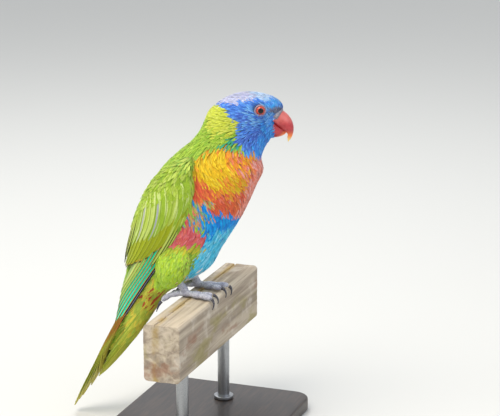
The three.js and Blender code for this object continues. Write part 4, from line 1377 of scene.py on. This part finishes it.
# A folded wing shows tiers of stiff feathers that lie like shingles, each held by its quill: the long narrow
# primaries under the broad secondaries, and the greater coverts over both. The innermost have black edges.
QUILL_ROWS = 22
QUILL_COLUMNS = 8
QUILL_THICK = 0.42 * MM
QUILL_GAP = 0.22 * MM
QUILL_CROWN = 0.16 * MM
QUILL_DEPTH = 1.3 * MM  # of its root under the feathers about it
QUILL_WIDTHS = ((0, 0.12, 0.3, 0.6, 0.78, 0.88, 0.95, 1), (0.5, 0.8, 0.96, 1, 0.9, 0.7, 0.46, 0.1))
QUILL_FRAY = {"depth": 0.012, "notches": 47}
SPINE = 2 * MM  # left free between the wings
OLIVES = ("#9aa810", "#90a216", "#a6b01c", "#8e9c14")
COVERTS = ("#9ab634", "#8cac2c", "#a6bc48", "#94b030", "#aec25c")
FLIGHTS = ("#101010", "#00dcb0", "#10e4bc", "#00d8a0", "#28d094", "#8ccc60", "#a8d060", "#b8d470")
GUARDS = ("#86a428", "#7c9c24", "#90ac30")
INNERS = ("#a4b822", "#98b02a", "#b0be38")


def wing_radius(k):
    bx, bz, cx, cz, half = columns(CLOAK, k)[:5]
    return (np.hypot(bx - cx, bz - cz) + half) / 2


def wing_width(k):
    return (cloak_angle(k, 0) - cloak_angle(k, 1)) * wing_radius(k)


def quill_grid(place, half, phase):
    """The two faces of a stiff feather: place gives points for a share of its length and a reach across."""
    t, c = np.meshgrid(np.linspace(0, 1, QUILL_ROWS), np.linspace(-1, 1, QUILL_COLUMNS + 1), indexing="ij")
    width = half * np.interp(t, *QUILL_WIDTHS)
    notches = np.sin(QUILL_FRAY["notches"] * t + phase) * abs(c) * step(t, 0.3, 0.6)
    frayed = 1 + QUILL_FRAY["depth"] * notches
    crown = QUILL_CROWN * (1 - abs(c)) ** 0.7
    return t, c, [place(t, c * width * frayed, crown - deep) for deep in (0, QUILL_THICK)]


def quills(name, finish, slot, feathers, colours, rng, marked=()):
    """One mesh of stiff feathers, each closed, with its own strip of the flat map. Some can be marked. The
    vane's third value is below 0 on the underside."""
    points, quads, vane, tint, spots = [], [], [], [], []
    cells = QUILL_ROWS * (QUILL_COLUMNS + 1)
    for number, ((t, c, faces), colour) in enumerate(zip(feathers, colours)):
        top = len(points) * cells + np.arange(cells).reshape(t.shape)
        for grid, way in ((top, 1), (top + cells, -1)):
            corners = np.stack([grid[:-1, :-1], grid[:-1, 1:], grid[1:, 1:], grid[1:, :-1]], -1)
            quads.append(corners.reshape(-1, 4)[:, ::way])
        rim = np.concatenate([top[0, :], top[1:, -1], top[-1, -2::-1], top[-2:0:-1, 0]])
        low = rim + cells
        quads.append(np.stack([np.roll(rim, -1), rim, low, np.roll(low, -1)], -1))
        chance = 1.0 if number in marked else 0.1 + 0.7 * rng.random()
        for half, face in enumerate(faces):
            points.append(face.reshape(-1, 3))
            vane.append(np.stack([c, t, np.full(t.shape, -chance if half else chance)], -1).reshape(-1, 3))
            tint.append(np.broadcast_to(colour, (t.size, 3)))
            column = (number + 0.5 + 0.44 * c) / len(feathers)
            spots.append(np.stack([column, 0.01 + 0.48 * t + 0.5 * half], -1).reshape(-1, 2))
    mesh = bpy.data.meshes.new(name)
    mesh.from_pydata(np.concatenate(points), [], np.concatenate(quads).tolist())
    piece = linked(name, mesh)
    set_attribute(piece, "vane", "FLOAT_VECTOR", np.concatenate(vane))
    set_plumage(piece, np.concatenate(tint))
    unwrapped(mesh, np.concatenate(spots))
    select_only(piece)
    bpy.ops.object.mode_set(mode="EDIT")
    bpy.ops.mesh.select_all(action="SELECT")
    bpy.ops.mesh.normals_make_consistent(inside=False)
    close_edit(math.radians(50))
    settle(piece, finish, slot)


def shingle(side, root, end, distance, apart, half, lift):
    """A wing feather that lies over its neighbour towards the wing's lower edge, and under the next one."""
    tilt = (QUILL_THICK + QUILL_GAP) / apart

    def place(t, across, rise):
        k = root + (end - root) * t
        free = step(t, 0, 0.22)
        height = (lift + QUILL_DEPTH) * free - QUILL_DEPTH + tilt * across * free
        inside = np.minimum(distance, wing_width(k) - SPINE)
        return cloak(side, k, cloak_angle(k, 0) + (across - inside) / wing_radius(k), height + rise)

    return quill_grid(place, half, 3 * distance / MM)


class Vane(Finish):
    """Stiff feathers: barbs slant away from the shaft on both sides as fine streaks."""

    def __init__(self, name):
        super().__init__(name, Roughness=0.52, Specular_IOR_Level=0.22, Sheen_Weight=0.04)
        self.own = self.attribute("plumage")
        self.across, self.along, self.chance = self.axes(self.attribute("vane", 1))
        slant = self.along * 26 - abs(self.across) * 2.2
        place = {"X": self.across * 1.4, "Y": slant * 3, "Z": self.chance * 50}
        self.barbs = self.noise(self.node("CombineXYZ", None, place), 1.6, 3, 0.6, 0.2)
        self.bump(self.barbs, 0.1 * MM, 0.5)

    def dusted(self, colour, amount=0.5):
        """The colour with light and dark barbs."""
        light = self.blend(self.barbs.ramp(0.5, 0.78) * amount, colour, "#ffffff", "SOFT_LIGHT")
        shade = self.barbs.ramp(0.48, 0.25) * amount * 0.6
        self.colour(self.blend(shade, light, (0.15, 0.14, 0.1, 1), "MULTIPLY"))

    def is_marked(self):
        return self.chance.ramp(0.9, 0.95)


flight = Vane("turquoise_primaries")
# the dark inner web is partly the web's own colour and partly painted shade where it shows between feathers
inner_vane = flight.blend(flight.is_marked() * 0.6, "#2c3a2c", flight.own)
tone = flight.layers(
    flight.own,
    (flight.across.ramp(0.34, 0.2), inner_vane),
    # painted shadow: a dark line beside the yellow edge, for the shadow between two feathers
    (flight.across.ramp(0.74, 0.79), "#16382a"),
    (flight.across.ramp(0.81, 0.86), "#d8be5c"),
    (flight.along.ramp(0.9, 0.99) * 0.7, "#2f3326"),
)
flight.dusted(tone)

outer = Vane("black_outer_primary")
stripe = outer.across.ramp(0.5, 0.56) * (1 - outer.across.ramp(0.66, 0.72))
outer.dusted(outer.blend(stripe, "#0e0d0f", "#8f88a6"))

olive = Vane("olive_secondaries")
end_line = olive.along.ramp(0.955, 0.985)
flecks = olive.noise(olive.place(), 900, 2).ramp(0.5, 0.62)
tone = olive.layers(
    olive.own,
    (olive.along.ramp(0.25, 0.6) * 0.75, "#94a008"),
    (olive.across.ramp(0.8, 0.95) * 0.45, "#c3cf52"),
    (end_line, "#3a3514"),
    (olive.along.ramp(0.93, 0.955) * (1 - end_line) * flecks, "#e0822c"),
)
olive.dusted(tone, 0.4)

cover = Vane("lime_coverts")
places = {"X": cover.across * 2.3, "Y": cover.along * 1.6, "Z": cover.chance * 31}
streak = cover.noise(cover.node("CombineXYZ", None, places), 1.3, 2, 0.5)
stripe = cover.across.ramp(0.2, 0.35) * (1 - cover.across.ramp(0.6, 0.75))
tone = cover.layers(
    cover.own,
    (streak.ramp(0.52, 0.66) * 0.75, "#cbd98c"),
    (streak.ramp(0.4, 0.3) * 0.6, "#86a21c"),
    (cover.is_marked() * cover.along.ramp(0.3, 0.5) * stripe * 0.8, "#9d99b4"),
)
cover.dusted(tone, 0.45)

edged = Vane("black_edged_inner_feathers")
edge = edged.across.ramp(0.66, 0.74) * edged.along.ramp(0.3, 0.5) * (1 - 0.8 * edged.is_marked())
tone = edged.layers(
    edged.own,
    (abs(edged.across).ramp(0.55, 0.2) * 0.6, "#d6de7a"),
    (edge, "#15140f"),
    (edged.along.ramp(0.94, 0.98) * 0.8, "#2a2812"),
)
edged.dusted(tone, 0.4)

for side, word in SIDES:
    rng = np.random.default_rng(140 + side)

    def tier(starts, ends, distances, apart, half, lift):
        """Feathers side by side, at distances from the wing's lower edge. Sizes are in millimetres."""
        starts = np.broadcast_to(starts, len(ends))
        sizes = (apart * MM, half * MM, lift * MM)
        return [shingle(side, k, end, d * MM, *sizes) for k, end, d in zip(starts, ends, distances)]

    ends = (9.85, 10.0, 9.88, 9.55, 9.15, 8.75, 8.3, 7.9)
    primaries = tier(5.6, ends, 2.6 + 3.8 * np.arange(8), 3.8, 4.4, -0.9)
    colours = [paint(code)[:3] for code in FLIGHTS]
    quills("outer_primary_" + word, outer, "wing_feathers", primaries[:1], colours[:1], rng)
    quills("primaries_" + word, flight, "wing_feathers", primaries[1:], colours[1:], rng, marked=(4, 5, 6))

    places = 3.6 + 4.9 * np.arange(10)
    ends = np.interp(places, (0, 8, 20, 34, 50), (5.9, 6.2, 6.5, 6.55, 6.45)) + rng.uniform(-0.04, 0.04, 10)
    secondaries = tier(3.6, ends, places, 4.9, 5.2, -0.2)
    quills("secondaries_" + word, olive, "wing_feathers", secondaries, choose(OLIVES, rng, 10), rng)

    guards = tier(4.4, (6.6, 7.0, 7.1), (1.4, 4.3, 7.2), 2.9, 2.5, 0.1)
    quills("primary_coverts_" + word, edged, "wing_feathers", guards, choose(GUARDS, rng, 3), rng)

    places = 3.2 + 4.5 * np.arange(12)
    ends = np.interp(places, (0, 8, 30, 52), (4.6, 5.0, 5.35, 5.3)) + rng.uniform(-0.15, 0.15, 12)
    coverts = tier(np.interp(places, (38, 53), (1.9, 3.1)), ends, places, 4.5, 4.6, 0.3)
    colours = choose(COVERTS, rng, 12)
    quills("greater_coverts_" + word, cover, "wing_feathers", coverts, colours, rng, marked=(5, 8))

    inner = tier((2.8, 3.1, 3.4), (5.9, 6.25, 6.1), (49.5, 53.8, 58), 4.2, 3.6, 0.5)
    quills("inner_feathers_" + word, edged, "wing_feathers", inner, choose(INNERS, rng, 3), rng, marked=(2,))


# Small soft feathers cover the shoulder and the wing's upper half, and hide the quills of the stiff ones.
# They lie back along the wing and are larger further down it.
SMALLS = ("#a0c038", "#94b836", "#aec84c", "#9cbc30", "#b6cc5c")
SHOULDER = ("#b8ce54", "#a8c44c", "#98ba3c", "#8cb844")
SMALL_COAT = {"apart": 1.1, "length": 5.5, "half": 0.75, "root": -0.6, "tip": 0.9}  # in millimetres
SMALL_GROWTH = {"apart": 0.22, "length": 1.8, "half": 0.26}  # for each slice further down
SMALL_TRIES = 30000


def small_size(word, k):
    return (SMALL_COAT[word] + SMALL_GROWTH[word] * k) * MM


for side, word in SIDES:
    rng = np.random.default_rng(160 + side)

    def wing_place(k, share):
        return wing_surface(side, k, share)

    roots, k, share = scatter(wing_place, (0.02, 5.0), (-0.085, 0.99), SMALL_TRIES, rng)
    roots, k, share = only((k < 2.75 + step(share, 0.6, 0.9)) | (share < 0.0), roots, k, share)
    roots, k, share = only(spread(roots, small_size("apart", k), rng), roots, k, share)
    count = len(k)
    ways = unit(wing_place(k + 0.05, share) - roots)
    colours = choose(SMALLS, rng, count)
    high_up = rng.random(count) < 1 - step(k, 0.4, 1.4)
    colours[high_up] = choose(SHOULDER, rng, count)[high_up]
    lengths = small_size("length", k) * rng.uniform(0.85, 1.15, count)
    colours *= (0.8 + 0.1 * step(k, 1.2, 2.6))[:, None] * np.exp(rng.normal(0, 0.08, count))[:, None]
    flat = np.stack([(share + 0.1) / 1.1, k / 5.2], -1)
    sizes = (lengths, small_size("half", k), SMALL_COAT["root"] * MM, SMALL_COAT["tip"] * MM)
    name, form = "small_coverts_" + word, wing_forms[side]
    feather_coat(name, "wing_feathers", form, roots, ways, sizes, colours, flat, rng, 0.1)


# Between the tips of the folded wings, loose green feathers cover the lower back down to the root of the
# tail. They are longer than those of the trunk, and lie lower than the wings beside them.
RUMP_COAT = {"apart": 1.5 * MM, "half": 1.15 * MM, "root": -3.0 * MM, "tip": -1.7 * MM, "rise": 1.0 * MM}
RUMP_TRIES = 14000

for side, word in SIDES:
    rng = np.random.default_rng(170 + side)

    def wing_place(k, share):
        return wing_surface(side, k, share)

    roots, k, share = scatter(wing_place, (4.0, 8.7), (0.4, 0.998), RUMP_TRIES, rng)
    edge = np.interp(k, (4.0, 4.9, 5.2, 7.6, 8.7), (58, 58, 45, 31, 25.5)) * MM
    roots, k, share = only(share * wing_width(k) > edge, roots, k, share)
    roots, k, share = only(spread(roots, RUMP_COAT["apart"], rng), roots, k, share)
    count = len(k)
    ways = unit(wing_place(k + 0.05, share) - roots)
    lengths = rng.uniform(9, 12, count) * MM
    high = RUMP_COAT["tip"] + RUMP_COAT["rise"] * step(k, 6.0, 6.8)
    sizes = (lengths, np.full(count, RUMP_COAT["half"]), RUMP_COAT["root"], high)
    colours = choose(GREENS, rng, count) * (0.8 * np.exp(rng.normal(0, 0.08, count)))[:, None]
    flat = np.stack([share, k / 9], -1)
    name, form = "rump_coat_" + word, wing_forms[side]
    feather_coat(name, "body_feathers", form, roots, ways, sizes, colours, flat, rng, 0.14)


# Twelve stiff feathers make the long, pointed tail: the middle pair is the longest and lies on top. They are
# green above and olive yellow below, with red at the root of the outer ones' inner side.
TAIL = {"tilt": math.radians(62.4), "reach": 95 * MM, "top": 4.2 * MM}
TAIL_ROOT = PERCH + [-50 * MM, 0, -18 * MM]
TAIL_DOWN = np.array([-math.cos(TAIL["tilt"]), 0, -math.sin(TAIL["tilt"])])
TAIL_OUT = np.array([-math.sin(TAIL["tilt"]), 0, math.cos(TAIL["tilt"])])
TAIL_LEVELS = {"apart": 0.95 * MM, "close": 0.82, "pressed": 0.5, "from": 0.34, "to": 0.6}
TAIL_PAIRS = (
    # share of the tail's length, half width, distance from the middle at root and tip
    (1.0, 6.2, 2.8, 1.5),
    (0.915, 6.2, 4.0, 4.2),
    (0.81, 6.4, 5.0, 6.4),
    (0.69, 6.4, 6.0, 8.0),
    (0.57, 6.2, 7.0, 9.4),
    (0.45, 5.8, 8.0, 10.4),
)
TAIL_GREENS = ("#8fb52e", "#86ad30", "#9cbc3a", "#7fa534", "#93b02c", "#a8b83a")


def tail_feather(side, order):
    reach, half, near_root, near_tip = TAIL_PAIRS[order]
    level = 2 * order + (side < 0)

    def place(t, across, rise):
        distance = t * reach
        pressed = TAIL_LEVELS["pressed"]
        free = pressed + (1 - pressed) * step(distance, TAIL_LEVELS["from"], TAIL_LEVELS["to"])
        apart = TAIL_LEVELS["apart"] * (1 + (TAIL_LEVELS["close"] - 1) * distance) * free
        height = TAIL["top"] - level * apart + rise
        point = TAIL_ROOT + TAIL_DOWN * (distance * TAIL["reach"])[..., None] + TAIL_OUT * height[..., None]
        point[..., 1] += side * (near_root + (near_tip - near_root) * t) * MM + across
        return point

    return quill_grid(place, half * MM, 5 * level)


vanes = Vane("green_tail_feathers")
beside = abs(vanes.across)
upper_tone = vanes.layers(
    vanes.own,
    (beside.ramp(0.09, 0.03) * 0.7, "#3d4a1c"),
    (beside.ramp(0.86, 0.97) * 0.6, "#56701c"),
    (vanes.along.ramp(0.82, 0.98) * 0.7, "#c9c43e"),
)
under_tone = vanes.blend(vanes.along.ramp(0.55, 0.25) * beside.ramp(0.1, 0.3), "#c8bc44", "#cc5a30")
vanes.dusted(vanes.blend(vanes.chance.ramp(-0.05, 0.05), under_tone, upper_tone))

rng = np.random.default_rng(180)
feathers = [tail_feather(side, order) for order in range(len(TAIL_PAIRS)) for side in (1, -1)]
quills("tail_feathers", vanes, "tail_feathers", feathers, choose(TAIL_GREENS, rng, len(feathers)), rng)


# Long, soft coverts run from the vent onto the underside of the tail. They are set in the skin in three rows,
# and each row lies over the next one's roots.
COVERT_ROWS = (
    # slice of the root, how far down the tail it ends, and the turns of its feathers in degrees
    (17.7, 61 * MM, (-26, 0, 26)),
    (17.0, 53 * MM, (-40, -14, 14, 40)),
    (16.2, 45 * MM, (-52, -26, 0, 26, 52)),
)
COVERT_HALF = 3.3 * MM
COVERT_ROOT = {"depth": 1 * MM, "bend": 1.1, "lift": 0.5 * MM}  # the bend is slices below the root
COVERT_TIPS = {"under": 3.6 * MM, "aside": 8 * MM}


def tail_covert(start, end, turn):
    """A feather on a curve from the trunk to the tail's underside."""
    a = math.radians(turn)
    over = ((start, -COVERT_ROOT["depth"]), (start + COVERT_ROOT["bend"], COVERT_ROOT["lift"]))
    root, bend = (sleeve(np.array(s), np.array(a), lift) for s, lift in over)
    tip = TAIL_ROOT + TAIL_DOWN * end - TAIL_OUT * COVERT_TIPS["under"]
    tip[1] += COVERT_TIPS["aside"] * math.sin(a)
    aside = np.array([0, math.cos(a), 0]) + TAIL_OUT * math.sin(a)
    out = np.array([0, math.sin(a), 0]) - TAIL_OUT * math.cos(a)

    def place(t, across, rise):
        t = t[..., None]
        middle = root * (1 - t) ** 2 + bend * 2 * t * (1 - t) + tip * t**2
        return middle + aside * across[..., None] + out * rise[..., None]

    return quill_grid(place, COVERT_HALF, 3 * turn)


rng = np.random.default_rng(190)
feathers = [tail_covert(start, end, turn) for start, end, turns in COVERT_ROWS for turn in turns]
colours = choose(VENT, rng, len(feathers), 0.4) * 0.8
quills("under_tail_coverts", fine_barbs, "tail_feathers", feathers, colours, rng)


# The model stands on a plain pale floor in soft studio light: a wide lamp above and in front, a weaker one on
# the other side, and a narrow one from behind that draws the back's edge. The camera looks down a little.
FLOOR_SIZE = 6.0
FLOOR_DROP = 0.02 * MM
VIEW = {"azimuth": 20, "elevation": 15, "lens": 135, "sensor": 36, "distance": 1.35}
AIM = Vector((0.0376, 0, 0.1749))
LAMPS = (
    # name, azimuth, elevation, distance, width, watts, colour
    ("key", -25, 58, 1.3, 0.8, 16, "#fff6ea"),
    ("fill", 75, 30, 1.5, 1.2, 5, "#eaf1ff"),
    ("rim", 215, 50, 1.3, 0.5, 7, "#ffffff"),
)
SURROUND = {"Color": paint("#eceef2"), "Strength": 0.92}


def hang(name, thing, azimuth, elevation, distance):
    """Puts a lamp or the camera at these angles in degrees and turns it towards the model."""
    a, e = math.radians(azimuth), math.radians(elevation)
    way = Vector((math.sin(a) * math.cos(e), -math.cos(a) * math.cos(e), math.sin(e)))
    holder = linked(name, thing)
    holder.location = AIM + way * distance
    holder.rotation_euler = way.to_track_quat("Z", "Y").to_euler()
    return holder


at = (0, 0, -FLOOR_DROP)
floor = primitive(bpy.ops.mesh.primitive_plane_add, "studio_floor", size=FLOOR_SIZE, location=at)
bpy.ops.mesh.subdivide(number_cuts=3)
close_edit()
paper = Finish("pale_paper", Roughness=0.9)
paper.colour(paint("#cacbc8"))
floor.data.materials.append(paper.material)

for name, azimuth, elevation, distance, width, watts, colour in LAMPS:
    lamp = bpy.data.lights.new(name, "AREA")
    lamp.size = width
    lamp.energy = watts
    lamp.color = paint(colour)[:3]
    hang(name, lamp, azimuth, elevation, distance)

world = bpy.data.worlds.new("soft_room")
world.use_nodes = True
for socket, value in SURROUND.items():
    world.node_tree.nodes["Background"].inputs[socket].default_value = value
bpy.context.scene.world = world
bpy.context.scene.view_settings.view_transform = "Standard"

lens = bpy.data.cameras.new("photo_view")
lens.lens = VIEW["lens"]
lens.sensor_width = VIEW["sensor"]
lens.sensor_fit = "HORIZONTAL"
lens.clip_start = 0.05
camera = hang("photo_view", lens, VIEW["azimuth"], VIEW["elevation"], VIEW["distance"])
bpy.context.scene.camera = camera
